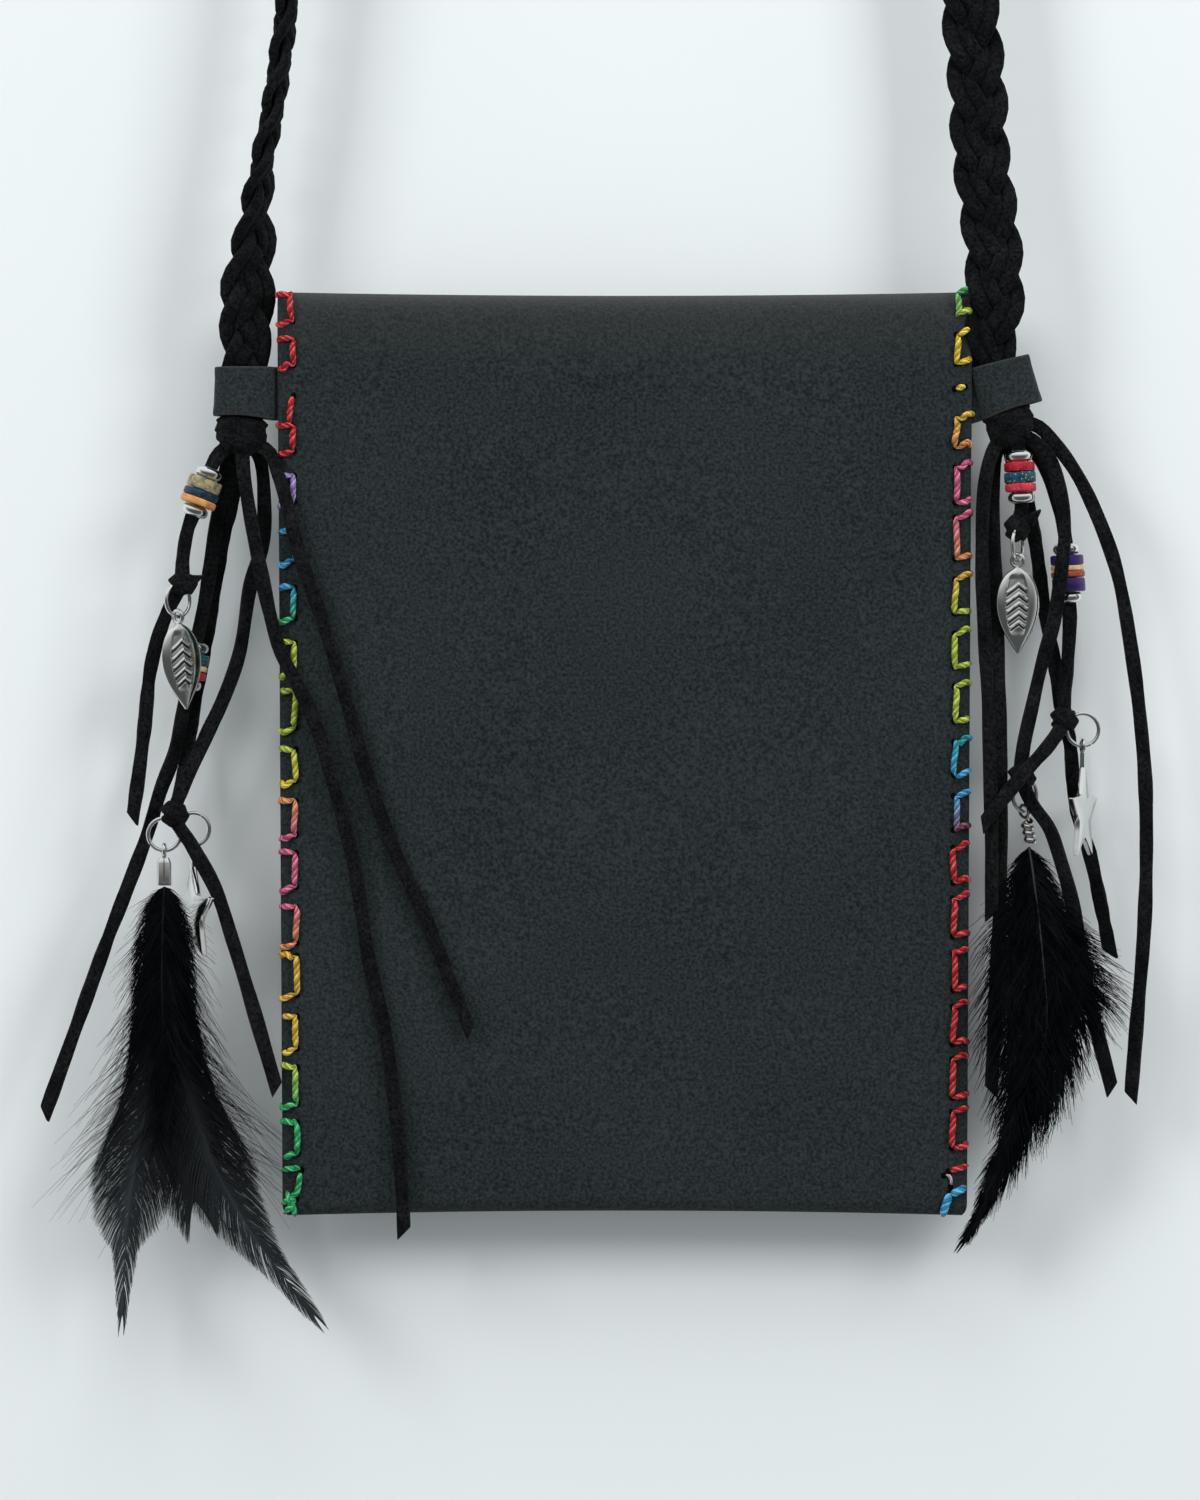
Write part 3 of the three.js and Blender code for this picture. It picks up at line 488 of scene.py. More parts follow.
class Recipe(NodeSketch):
    """A Geometry Nodes tree with named sizes, run on a mesh of lines or points and made plain."""

    def __init__(self, name: str, sizes: dict[str, float | int]) -> None:
        """Makes the tree and its inputs.

        Args:
            name: The tree's name.
            sizes: Named inputs and their values.
        """
        super().__init__(bpy.data.node_groups.new(name, "GeometryNodeTree"))
        self.sizes = sizes
        face = self.tree.interface
        face.new_socket("Geometry", in_out="INPUT", socket_type="NodeSocketGeometry")
        face.new_socket("Geometry", in_out="OUTPUT", socket_type="NodeSocketGeometry")
        self.labels = {}
        for label, value in sizes.items():
            kind = "NodeSocketInt" if isinstance(value, int) else "NodeSocketFloat"
            self.labels[label] = face.new_socket(label, in_out="INPUT", socket_type=kind).identifier
        self.entry = self.add("NodeGroupInput")
        self.source = self.entry.outputs["Geometry"]

    def size(self, label: str) -> Socket:
        """The named input's value."""
        return self.entry.outputs[label]

    def stored(self, label: str, kind: str = "FLOAT") -> Socket:
        """A value that the source mesh carries at its points."""
        return self.add("GeometryNodeInputNamedAttribute", {"Name": label}, data_type=kind).outputs[0]

    def chance(self, low: float, high: float, seed: int) -> Socket:
        """A random number for each point, with a fixed seed.

        Args:
            low: The least.
            high: The most.
            seed: The fixed seed.

        Returns:
            The number.
        """
        node = self.add("FunctionNodeRandomValue", {"Seed": seed}, data_type="FLOAT")
        self.feed(node.inputs[2], low)
        self.feed(node.inputs[3], high)
        return node.outputs[1]

    def lines(self, spacing: object | None = None) -> Socket:
        """The source's edges as curves, evenly sampled if a spacing is given.

        Args:
            spacing: Distance between samples.

        Returns:
            The curves.
        """
        curve = self.add("GeometryNodeMeshToCurve", {"Mesh": self.source}).outputs[0]
        if spacing is None:
            return curve
        inputs = {"Curve": curve, "Length": spacing}
        return self.add("GeometryNodeResampleCurve", inputs, mode="LENGTH").outputs[0]

    def copies(self, curves: Socket, count: Socket) -> tuple[Socket, Socket]:
        """Copies of each curve on the spot, and the copies' numbers.

        Args:
            curves: What to copy.
            count: How many of each.

        Returns:
            The copies, and each one's number.
        """
        inputs = {"Geometry": curves, "Amount": count}
        node = self.add("GeometryNodeDuplicateElements", inputs, domain="SPLINE")
        return node.outputs[0], node.outputs[1]

    def tangent(self) -> Socket:
        """The way that a curve runs at each point."""
        return self.add("GeometryNodeInputTangent").outputs[0]

    def along(self, measure: str) -> Socket:
        """How far along its curve a point is, as a Length or as a Factor."""
        return self.add("GeometryNodeSplineParameter").outputs[measure]

    def hand(self, index: Socket) -> Socket:
        """-1 for even numbers and 1 for odd ones."""
        return self.minus(self.times(self.number("MODULO", index, 2.0), 2.0), 1.0)

    def turned(self, first: Socket, second: Socket, angle: Socket) -> Socket:
        """A direction turned by an angle from a first one towards a second."""
        start = self.scaled(first, self.number("COSINE", angle))
        return self.vector("ADD", start, self.scaled(second, self.number("SINE", angle)))

    def moved(self, geometry: Socket, offset: Socket) -> Socket:
        """The same geometry, each point shifted."""
        return self.add("GeometryNodeSetPosition", {"Geometry": geometry, "Offset": offset}).outputs[0]

    def marked(
        self, geometry: Socket, label: str, value: object, kind: str = "FLOAT", on: str = "POINT"
    ) -> Socket:
        """The same geometry with a value stored under a name."""
        inputs = {"Geometry": geometry, "Name": label, "Value": value}
        return self.add("GeometryNodeStoreNamedAttribute", inputs, data_type=kind, domain=on).outputs[0]

    def skinned(self, curves: Socket, section: Socket, scale: Socket) -> Socket:
        """Closed skins swept along curves."""
        inputs = {"Curve": curves, "Profile Curve": section, "Scale": scale, "Fill Caps": True}
        return self.add("GeometryNodeCurveToMesh", inputs).outputs[0]

    def circle(self, sides: int) -> Socket:
        """A round profile, 1 across."""
        return self.add("GeometryNodeCurvePrimitiveCircle", {"Resolution": sides, "Radius": 0.5}).outputs[0]

    def round_section(self, sides: int, width: object) -> Socket:
        """A round profile of a width."""
        size = self.add("ShaderNodeCombineXYZ", {"X": width, "Y": width, "Z": 1.0}).outputs[0]
        return self.add("GeometryNodeTransform", {"Geometry": self.circle(sides), "Scale": size}).outputs[0]

    def band_section(self, width: object, thickness: object, rounding: object) -> Socket:
        """A flat profile with rounded corners, whose width follows a curve's normal.

        Args:
            width: Whole width.
            thickness: Whole thickness.
            rounding: Radius of the corners.

        Returns:
            The profile.
        """
        flat = self.add("GeometryNodeCurvePrimitiveQuadrilateral", {"Width": width, "Height": thickness})
        inputs = {"Curve": flat.outputs[0], "Radius": rounding, "Count": 3}
        return self.add("GeometryNodeFilletCurve", inputs, mode="POLY").outputs[0]

    def close(self, geometry: Socket, finish: Material) -> None:
        """Ends the tree: instances made real, material set.

        Args:
            geometry: What the tree gives.
            finish: Its material.
        """
        real = self.add("GeometryNodeRealizeInstances", {"Geometry": geometry})
        dressed = self.add("GeometryNodeSetMaterial", {"Geometry": real.outputs[0], "Material": finish})
        self.add("NodeGroupOutput", {"Geometry": dressed.outputs[0]})

    def run(self, name: str, source: Mesh) -> Mesh:
        """Runs the tree on a mesh.

        Args:
            name: The result's name.
            source: Mesh of lines or points, in the part's frame.

        Returns:
            The plain mesh.
        """
        holder = shown(f"{name}_source", source)
        modifier = holder.modifiers.new(name, "NODES")
        modifier.node_group = self.tree
        for label, identifier in self.labels.items():
            modifier[identifier] = self.sizes[label]
        graph = bpy.context.evaluated_depsgraph_get()
        result = bpy.data.meshes.new_from_object(holder.evaluated_get(graph))
        result.name = name
        holder.modifiers.remove(modifier)
        bpy.data.objects.remove(holder)
        return result


def line_mesh(name: str, lines: Sequence[np.ndarray], values: dict[str, np.ndarray]) -> Mesh:
    """A mesh of bare lines with values at their points, for a recipe to work on.

    Args:
        name: The mesh's name.
        lines: Lines of points in the bag's frame.
        values: Numbers, vectors or colours for all points in order.

    Returns:
        The mesh, in the part's frame.
    """
    edges, start = [], 0
    for line in lines:
        edges.extend((start + i, start + i + 1) for i in range(len(line) - 1))
        start += len(line)
    mesh = bpy.data.meshes.new(name)
    mesh.from_pydata((np.vstack(lines) + BAG_TOP).tolist(), edges, [])
    kinds = {1: ("FLOAT", "value"), 3: ("FLOAT_VECTOR", "vector"), 4: ("FLOAT_COLOR", "color")}
    for label, value in values.items():
        kind, target = kinds[1 if value.ndim == 1 else value.shape[1]]
        attribute = mesh.attributes.new(label, kind, "POINT")
        attribute.data.foreach_set(target, value.astype(np.float32).ravel())
    return mesh


# Finishes


class FinishSketch(NodeSketch):
    """A material under way: its shader, its coordinates and the usual patterns."""

    def __init__(self, name: str) -> None:
        """Starts a material with one shader.

        Args:
            name: The material's name.
        """
        self.material = bpy.data.materials.new(name)
        self.material.use_nodes = True
        super().__init__(self.material.node_tree)
        self.shader = self.tree.nodes["Principled BSDF"]
        self.place = self.add("ShaderNodeTexCoord").outputs["Object"]

    def noise(self, scale: float, detail: float) -> Socket:
        """Soft noise of so many spots to the metre."""
        inputs = {"Vector": self.place, "Scale": scale, "Detail": detail}
        return self.add("ShaderNodeTexNoise", inputs).outputs[0]

    def stepped(self, value: object, low: float, high: float) -> Socket:
        """A value spread so that low becomes 0 and high 1."""
        node = self.add("ShaderNodeMapRange", {"Value": value, "From Min": low, "From Max": high})
        return node.outputs[0]

    def stored(self, label: str, output: str = "Fac") -> Socket:
        """A value that the mesh carries at its points."""
        return self.add("ShaderNodeAttribute", attribute_name=label).outputs[output]

    def mixed(self, share: object, first: object, second: object) -> Socket:
        """A colour between two.

        Args:
            share: Of the second colour.
            first: The first colour.
            second: The second colour.

        Returns:
            The mixed colour.
        """
        node = self.add("ShaderNodeMix", data_type="RGBA")
        for index, value in ((0, share), (6, first), (7, second)):
            self.feed(node.inputs[index], (*value, 1.0) if isinstance(value, tuple) else value)
        return node.outputs[2]

    def bump(self, height: object, depth: float, strength: float, under: object | None = None) -> object:
        """Fine relief, laid over another if given.

        Args:
            height: The pattern.
            depth: Its depth, in metres.
            strength: How much of it shows.
            under: The relief below it.

        Returns:
            The surface's direction.
        """
        node = self.add("ShaderNodeBump", {"Height": height, "Distance": depth, "Strength": strength})
        if under is not None:
            self.feed(node.inputs["Normal"], under)
        return node.outputs[0]

    def dress(self, **inputs: object) -> Material:
        """Sets the shader's inputs, with spaces written as underscores.

        Args:
            inputs: Outputs or plain values, by name.

        Returns:
            The finished material.
        """
        for label, value in inputs.items():
            self.feed(self.shader.inputs[label.replace("_", " ")], value)
        return self.material


@dataclass(frozen=True)
class Nubuck:
    """Matt charcoal leather with a brushed nap, soft clouding, a painted highlight along the top fold and
    paler cut edges.
    """

    deep: Colour = (0.0052, 0.0086, 0.0096)
    pale: Colour = (0.0296, 0.0366, 0.0384)
    # painted highlight: the colour that the top fold turns towards
    wear_and_highlight: Colour = (0.046, 0.046, 0.044)
    cut_edge: Colour = (0.040, 0.039, 0.037)
    clouding: float = 0.15  # the clouds' share of the tone; the grain has the rest

    def material(self) -> Material:
        """Makes the material.

        Returns:
            The material.
        """
        sketch = FinishSketch("nubuck")
        clouds = sketch.stepped(sketch.noise(26.0, 3.0), 0.3, 0.7)
        grain = sketch.stepped(sketch.noise(1500.0, 3.0), 0.32, 0.68)
        tone = sketch.plus(sketch.times(clouds, self.clouding), sketch.times(grain, 1 - self.clouding))
        body = sketch.mixed(tone, self.deep, self.pale)
        # painted highlight, lighter towards the top fold where light from above would catch it
        lit_fold = sketch.mixed(sketch.stored("rub"), body, self.wear_and_highlight)
        rim = sketch.stepped(sketch.stored("edge"), 0.9, 1.0)
        colour = sketch.mixed(rim, lit_fold, self.cut_edge)
        nap = sketch.bump(grain, 0.25 * MM, 0.5)
        relief = sketch.bump(sketch.noise(420.0, 2.0), 0.5 * MM, 0.18, nap)
        return sketch.dress(
            Base_Color=colour,
            Roughness=0.92,
            Specular_IOR_Level=0.10,
            Sheen_Weight=0.05,
            Sheen_Roughness=0.6,
            Sheen_Tint=(0.75, 0.82, 0.85, 1.0),
            Normal=relief,
        )


@dataclass(frozen=True)
class Suede:
    """Black suede with short fibres, a little brown where a lace was cut."""

    nap: Colour = (0.0015, 0.0018, 0.0021)
    # the suede's own lighter, rubbed fibres
    wear_and_highlight: Colour = (0.0195, 0.0208, 0.0216)
    cut_edge: Colour = (0.0180, 0.0140, 0.0115)

    def material(self) -> Material:
        """Makes the material.

        Returns:
            The material.
        """
        sketch = FinishSketch("suede")
        fibres = sketch.stepped(sketch.noise(1500.0, 4.0), 0.3, 0.72)
        patches = sketch.stepped(sketch.noise(190.0, 2.0), 0.1, 0.8)
        body = sketch.mixed(sketch.times(fibres, patches), self.nap, self.wear_and_highlight)
        rim = sketch.stepped(sketch.stored("edge"), 0.86, 1.0)
        speckle = sketch.stepped(sketch.noise(900.0, 2.0), 0.45, 0.8)
        colour = sketch.mixed(sketch.times(rim, speckle), body, self.cut_edge)
        return sketch.dress(
            Base_Color=colour,
            Roughness=0.95,
            Specular_IOR_Level=0.04,
            Sheen_Weight=0.02,
            Sheen_Roughness=0.5,
            Normal=sketch.bump(fibres, 0.3 * MM, 0.7),
        )


@dataclass(frozen=True)
class Silver:
    """Polished plate, darkened where the polish didn't reach."""

    bright: Colour = (0.80, 0.80, 0.78)
    tarnish: Colour = (0.035, 0.035, 0.038)

    def material(self) -> Material:
        """Makes the material.

        Returns:
            The material.
        """
        sketch = FinishSketch("silver")
        dark = sketch.stored("tarnish")
        wear = sketch.noise(700.0, 3.0)
        rough = sketch.plus(sketch.times(wear, 0.12), sketch.times(dark, 0.3))
        return sketch.dress(
            Base_Color=sketch.mixed(dark, self.bright, self.tarnish),
            Metallic=1.0,
            Roughness=sketch.plus(rough, 0.08),
            Normal=sketch.bump(sketch.noise(300.0, 2.0), 0.4 * MM, 0.08),
        )


@dataclass(frozen=True)
class Disc:
    """A coloured bead, mottled and flecked."""

    slot: str
    body: Colour
    mottle: Colour
    fleck: Colour
    fleck_share: float = 0.25

    def material(self) -> Material:
        """Makes the material.

        Returns:
            The material.
        """
        sketch = FinishSketch(f"bead_{self.slot}")
        patches = sketch.stepped(sketch.noise(520.0, 4.0), 0.38, 0.64)
        cells = sketch.add("ShaderNodeTexVoronoi", {"Vector": sketch.place, "Scale": 1500.0}).outputs[0]
        flecks = sketch.stepped(cells, self.fleck_share, self.fleck_share * 0.6)
        base = sketch.mixed(patches, self.body, self.mottle)
        return sketch.dress(
            Base_Color=sketch.mixed(flecks, base, self.fleck),
            Roughness=0.45,
            Specular_IOR_Level=0.3,
            Coat_Weight=0.12,
            Coat_Roughness=0.2,
            Normal=sketch.bump(sketch.noise(1100.0, 3.0), 0.2 * MM, 0.35),
        )


@dataclass(frozen=True)
class Thread:
    """Twisted thread whose dye changes along its length, with painted shade and painted highlights from ply
    to ply.
    """

    shade: float = 0.24  # painted shade: the share of the dye left on the darkest fibres
    contrast: float = 0.95  # between the darkest ply and the brightest, in painted shade and highlight
    highlight_share: float = 0.8  # how far the brightest fibres go towards the painted highlight
    painted_gleam: float = 0.17  # white that the painted highlight adds to the dye

    def material(self) -> Material:
        """Makes the material.

        Returns:
            The material.
        """
        sketch = FinishSketch("thread")
        dye = sketch.stored("dye", "Color")
        streaks = sketch.noise(1700.0, 3.0)
        # painted light: each ply's rank and the streaks run a fibre from painted shade to a painted
        # highlight
        plies = sketch.times(sketch.stored("ply"), self.contrast)
        fibres = sketch.times(sketch.stepped(streaks, 0.28, 0.78), 0.5)
        light = sketch.plus(plies, fibres)
        body = sketch.mixed(light, sketch.scaled(dye, self.shade), dye)
        highlight_mask = sketch.times(sketch.stepped(light, 0.66, 1.15), self.highlight_share)
        painted_gleam = sketch.vector("ADD", sketch.scaled(dye, 1.15), (self.painted_gleam,) * 3)
        return sketch.dress(
            Base_Color=sketch.mixed(highlight_mask, body, painted_gleam),
            Roughness=0.45,
            Specular_IOR_Level=0.35,
            Normal=sketch.bump(streaks, 0.15 * MM, 0.6),
        )


@dataclass(frozen=True)
class HoleShade:
    """Painted shade: the dark inside of a stitch hole, on a plug set in it."""

    low: Colour = (0.0015, 0.0015, 0.0015)
    high: Colour = (0.004, 0.004, 0.004)

    def material(self) -> Material:
        """Makes the material.

        Returns:
            The material.
        """
        sketch = FinishSketch("painted_hole_shade")
        tone = sketch.noise(900.0, 3.0)
        colour = sketch.mixed(tone, self.low, self.high)
        return sketch.dress(Base_Color=colour, Roughness=1.0, Specular_IOR_Level=0.05)


@dataclass(frozen=True)
class Plume:
    """Matt black barbs of uneven depth, with painted see-through grey towards a vane's far end, on a grey
    quill.
    """

    low: Colour = (0.0014, 0.0016, 0.0019)
    high: Colour = (0.0140, 0.0160, 0.0180)
    # painted see-through grey of a thin vane
    thin: Colour = (0.034, 0.039, 0.043)
    quill: Colour = (0.036, 0.038, 0.040)

    def material(self) -> Material:
        """Makes the material.

        Returns:
            The material.
        """
        sketch = FinishSketch("plume")
        patches = sketch.noise(160.0, 3.0)
        tone = sketch.times(sketch.stored("tone"), patches)
        barbs = sketch.mixed(tone, self.low, self.high)
        # painted light: greyer towards the vane's far end, standing for light showing through the thin vane
        barbs = sketch.mixed(sketch.stored("thinness"), barbs, self.thin)
        return sketch.dress(
            Base_Color=sketch.mixed(sketch.stored("quill"), barbs, self.quill),
            Roughness=0.8,
            Specular_IOR_Level=0.0,
            Normal=sketch.bump(patches, 0.1 * MM, 0.4),
        )


DISCS = {
    disc.slot: disc
    for disc in (
        Disc("sand", (0.33, 0.27, 0.13), (0.05, 0.08, 0.08), (0.55, 0.42, 0.16)),
        Disc("navy", (0.006, 0.017, 0.038), (0.012, 0.038, 0.062), (0.05, 0.09, 0.13)),
        Disc("orange", (0.60, 0.29, 0.10), (0.42, 0.17, 0.05), (0.75, 0.50, 0.28)),
        Disc("red", (0.42, 0.014, 0.026), (0.24, 0.006, 0.018), (0.56, 0.09, 0.085)),
        Disc("teal", (0.004, 0.030, 0.065), (0.008, 0.085, 0.115), (0.50, 0.34, 0.09), 0.26),
        Disc("pink", (0.50, 0.038, 0.062), (0.36, 0.016, 0.036), (0.64, 0.18, 0.16)),
        Disc("cream", (0.62, 0.48, 0.29), (0.46, 0.32, 0.16), (0.78, 0.68, 0.48)),
        Disc("rust", (0.36, 0.075, 0.025), (0.22, 0.04, 0.025), (0.55, 0.20, 0.07)),
        Disc("violet", (0.014, 0.007, 0.062), (0.045, 0.018, 0.12), (0.008, 0.02, 0.10)),
    )
}


@dataclass(frozen=True)
class Finishes:
    """The materials of the whole bag, each made once."""

    nubuck: Material
    suede: Material
    silver: Material
    thread: Material
    # dark plugs of painted shade in the stitch holes
    hole: Material
    plume: Material
    discs: dict[str, Material]

    @classmethod
    def make(cls) -> "Finishes":
        """Makes every material.

        Returns:
            The finishes.
        """
        return cls(
            nubuck=Nubuck().material(),
            suede=Suede().material(),
            silver=Silver().material(),
            thread=Thread().material(),
            hole=HoleShade().material(),
            plume=Plume().material(),
            discs={slot: disc.material() for slot, disc in DISCS.items()},
        )


# Camera, light and stage


@dataclass
class Studio:
    """A long lens square to the bag, soft light all round, a pale wall and a pale floor."""

    aim: Point = (-0.0054, -0.0057, -0.590)
    frame_height: float = 0.3261  # what the picture's height takes in, at the pouch's near side
    distance: float = 1.6
    sensor: float = 36.0
    wall_gap: float = 0.0175
    floor_drop: float = -0.765
    reach: float = 6.0
    wall_tone: Colour = (0.76, 0.80, 0.81)
    sky_tone: Colour = (0.885, 0.915, 0.93)
    sky_light: float = 0.54  # what the surroundings add to the lamps
    sky_seen: float = 0.85  # how bright they look where they show behind the bag
    dim_mirror: float = 0.09  # what metal mirrors in front of the bag
    bright_mirror: float = 0.95  # and overhead and beside the wall

    def camera(self) -> None:
        """Sets the camera at the photograph's angle."""
        lens = bpy.data.cameras.new("camera")
        lens.sensor_width = self.sensor
        lens.lens = self.sensor * self.distance / self.frame_height
        lens.clip_start = 0.05
        camera = shown("camera", lens)
        camera.location = Vector(self.aim) - Vector((0.0, self.distance, 0.0))
        camera.rotation_euler = (math.pi / 2, 0.0, 0.0)
        bpy.context.scene.camera = camera

    def plaster(self, label: str, one_sided: bool) -> Material:
        """Pale painted plaster; a one-sided wall shows nothing from behind.

        Args:
            label: The material's name.
            one_sided: Whether it is clear from behind.

        Returns:
            The material.
        """
        sketch = FinishSketch(label)
        mottle = sketch.noise(7.0, 3.0)
        darker = tuple(0.96 * tone for tone in self.wall_tone)
        material = sketch.dress(
            Base_Color=sketch.mixed(mottle, darker, self.wall_tone),
            Roughness=0.95,
            Normal=sketch.bump(sketch.noise(300.0, 2.0), 0.2 * MM, 0.1),
        )
        if one_sided:
            clear = sketch.add("ShaderNodeBsdfTransparent")
            back = sketch.add("ShaderNodeNewGeometry").outputs["Backfacing"]
            both = sketch.add("ShaderNodeMixShader", {"Fac": back})
            sketch.feed(both.inputs[1], sketch.shader.outputs[0])
            sketch.feed(both.inputs[2], clear.outputs[0])
            sketch.feed(sketch.tree.nodes["Material Output"].inputs["Surface"], both.outputs[0])
        return material

    def sheet(self, name: str, corners: Sequence[Point], material: Material) -> bpy.types.Object:
        """One flat stage surface.

        Args:
            name: The surface's name.
            corners: Its four corners.
            material: Its finish.

        Returns:
            The object.
        """
        mesh = bpy.data.meshes.new(name)
        mesh.from_pydata(corners, [], [(0, 1, 2, 3)])
        mesh.materials.append(material)
        surface = shown(name, mesh)
        return surface

    def lamp(self, name: str, place: Point, power: float, size: float, target: Point) -> None:
        """One square softbox turned towards a point.

        Args:
            name: The lamp's name.
            place: Where it stands.
            power: In watts.
            size: Its side.
            target: The point that it faces.
        """
        data = bpy.data.lights.new(name, "AREA")
        data.energy = power
        data.size = size
        lamp = shown(name, data)
        lamp.location = place
        lamp.rotation_euler = (Vector(target) - Vector(place)).to_track_quat("-Z", "Y").to_euler()
        lamp.visible_camera = False
        lamp.visible_glossy = False

    def sky(self) -> None:
        """Pale surroundings; what metal mirrors is dim in front, bright overhead and beside the wall."""
        world = bpy.data.worlds.new("surroundings")
        world.use_nodes = True
        bpy.context.scene.world = world
        sketch = NodeSketch(world.node_tree)
        direction = sketch.add("ShaderNodeTexCoord").outputs["Generated"]
        parts = sketch.add("ShaderNodeSeparateXYZ", {"Vector": direction}).outputs
        bright = 0.0
        for axis, low, high in (("Y", -0.6, 0.2), ("Z", -0.05, 0.75)):
            inputs = {"Value": parts[axis], "From Min": low, "From Max": high}
            step = sketch.add("ShaderNodeMapRange", inputs, interpolation_type="SMOOTHSTEP")
            bright = sketch.number("MAXIMUM", bright, step.outputs[0])
        glare = sketch.times(bright, self.bright_mirror - self.dim_mirror)
        change = sketch.plus(glare, self.dim_mirror - self.sky_light)
        ray = sketch.add("ShaderNodeLightPath").outputs
        mirrored = sketch.times(ray["Is Glossy Ray"], change)
        seen = sketch.times(ray["Is Camera Ray"], self.sky_seen - self.sky_light)
        strength = sketch.plus(sketch.plus(mirrored, seen), self.sky_light)
        backdrop = world.node_tree.nodes["Background"]
        sketch.feed(backdrop.inputs["Color"], (*self.sky_tone, 1.0))
        sketch.feed(backdrop.inputs["Strength"], strength)

    def build(self) -> None:
        """Sets everything round the bag."""
        self.camera()
        wide, low, back = self.reach, self.floor_drop, self.wall_gap
        wall = self.sheet(
            "wall",
            [(-wide, back, low), (wide, back, low), (wide, back, wide), (-wide, back, wide)],
            self.plaster("wall_plaster", True),
        )
        wall.visible_shadow = False
        floor = self.sheet(
            "floor",
            [(-wide, -wide, low), (wide, -wide, low), (wide, wide, low), (-wide, wide, low)],
            self.plaster("floor_plaster", False),
        )
        floor.visible_diffuse = False
        floor.visible_glossy = False
        middle = (0.0, 0.0, -0.58)
        self.lamp("key_left", (-1.15, -1.25, 0.2), 12.5, 0.7, middle)
        self.lamp("key_right", (1.2, -1.2, 0.1), 13.4, 0.7, middle)
        self.lamp("fill_top", (0.0, -0.9, 1.1), 13.5, 0.9, middle)
        self.lamp("fill_back", (0.6, 1.9, 0.5), 16.0, 1.4, middle)
        self.lamp("fill_back_left", (-1.3, 1.5, -0.2), 10.0, 1.0, middle)
        self.sky()
        bpy.context.scene.view_settings.view_transform = "Standard"


# Laces and their knots


class FarEnd(Enum):
    """What a lace ends in."""

    BARE = "bare"
    KNOT = "knot"


class Side(Enum):
    """A side of the bag, as the viewer sees it."""

    LEFT = -1
    RIGHT = 1


@dataclass(frozen=True)
class KnotSpec:
    """A knot's middle, its reach along each axis, and how it departs from an oval."""

    centre: Point
    radii: Point
    squareness: float = 2.0  # 2 for an oval, more for a block
    taper: float = 0.0  # how much wider it is at the top
    lean: float = 0.0  # turn in the picture plane, in degrees

    def surface(self, directions: np.ndarray, inset: np.ndarray) -> tuple[np.ndarray, np.ndarray]:
        """Where directions from the knot's middle meet its surface.

        Args:
            directions: Of length 1.
            inset: The knot's reach along each axis.

        Returns:
            The points and the surface's outward directions there.
        """
        power = self.squareness
        swell = (np.abs(directions) ** power).sum(axis=-1, keepdims=True) ** (-1 / power)
        places = directions * swell
        outward = np.sign(places) * np.abs(places) ** (power - 1) / inset
        places[..., 0] *= 1 + self.taper * places[..., 2]
        turn = np.array(Matrix.Rotation(math.radians(self.lean), 3, "Y")).T
        return places * inset @ turn + np.asarray(self.centre), unit(outward @ turn)


@dataclass(frozen=True)
class LaceSpec:
    """A lace's route down from its main knot, its small knot and the loose end below that."""

    route: tuple[Point, ...]
    knot: KnotSpec | None = None
    tail: tuple[Point, ...] = ()
    far_end: FarEnd = FarEnd.BARE


def lace(*route: Point, **ends: object) -> LaceSpec:
    """A lace from its route's points, in metres, and its other values by name."""
    return LaceSpec(route, **ends)


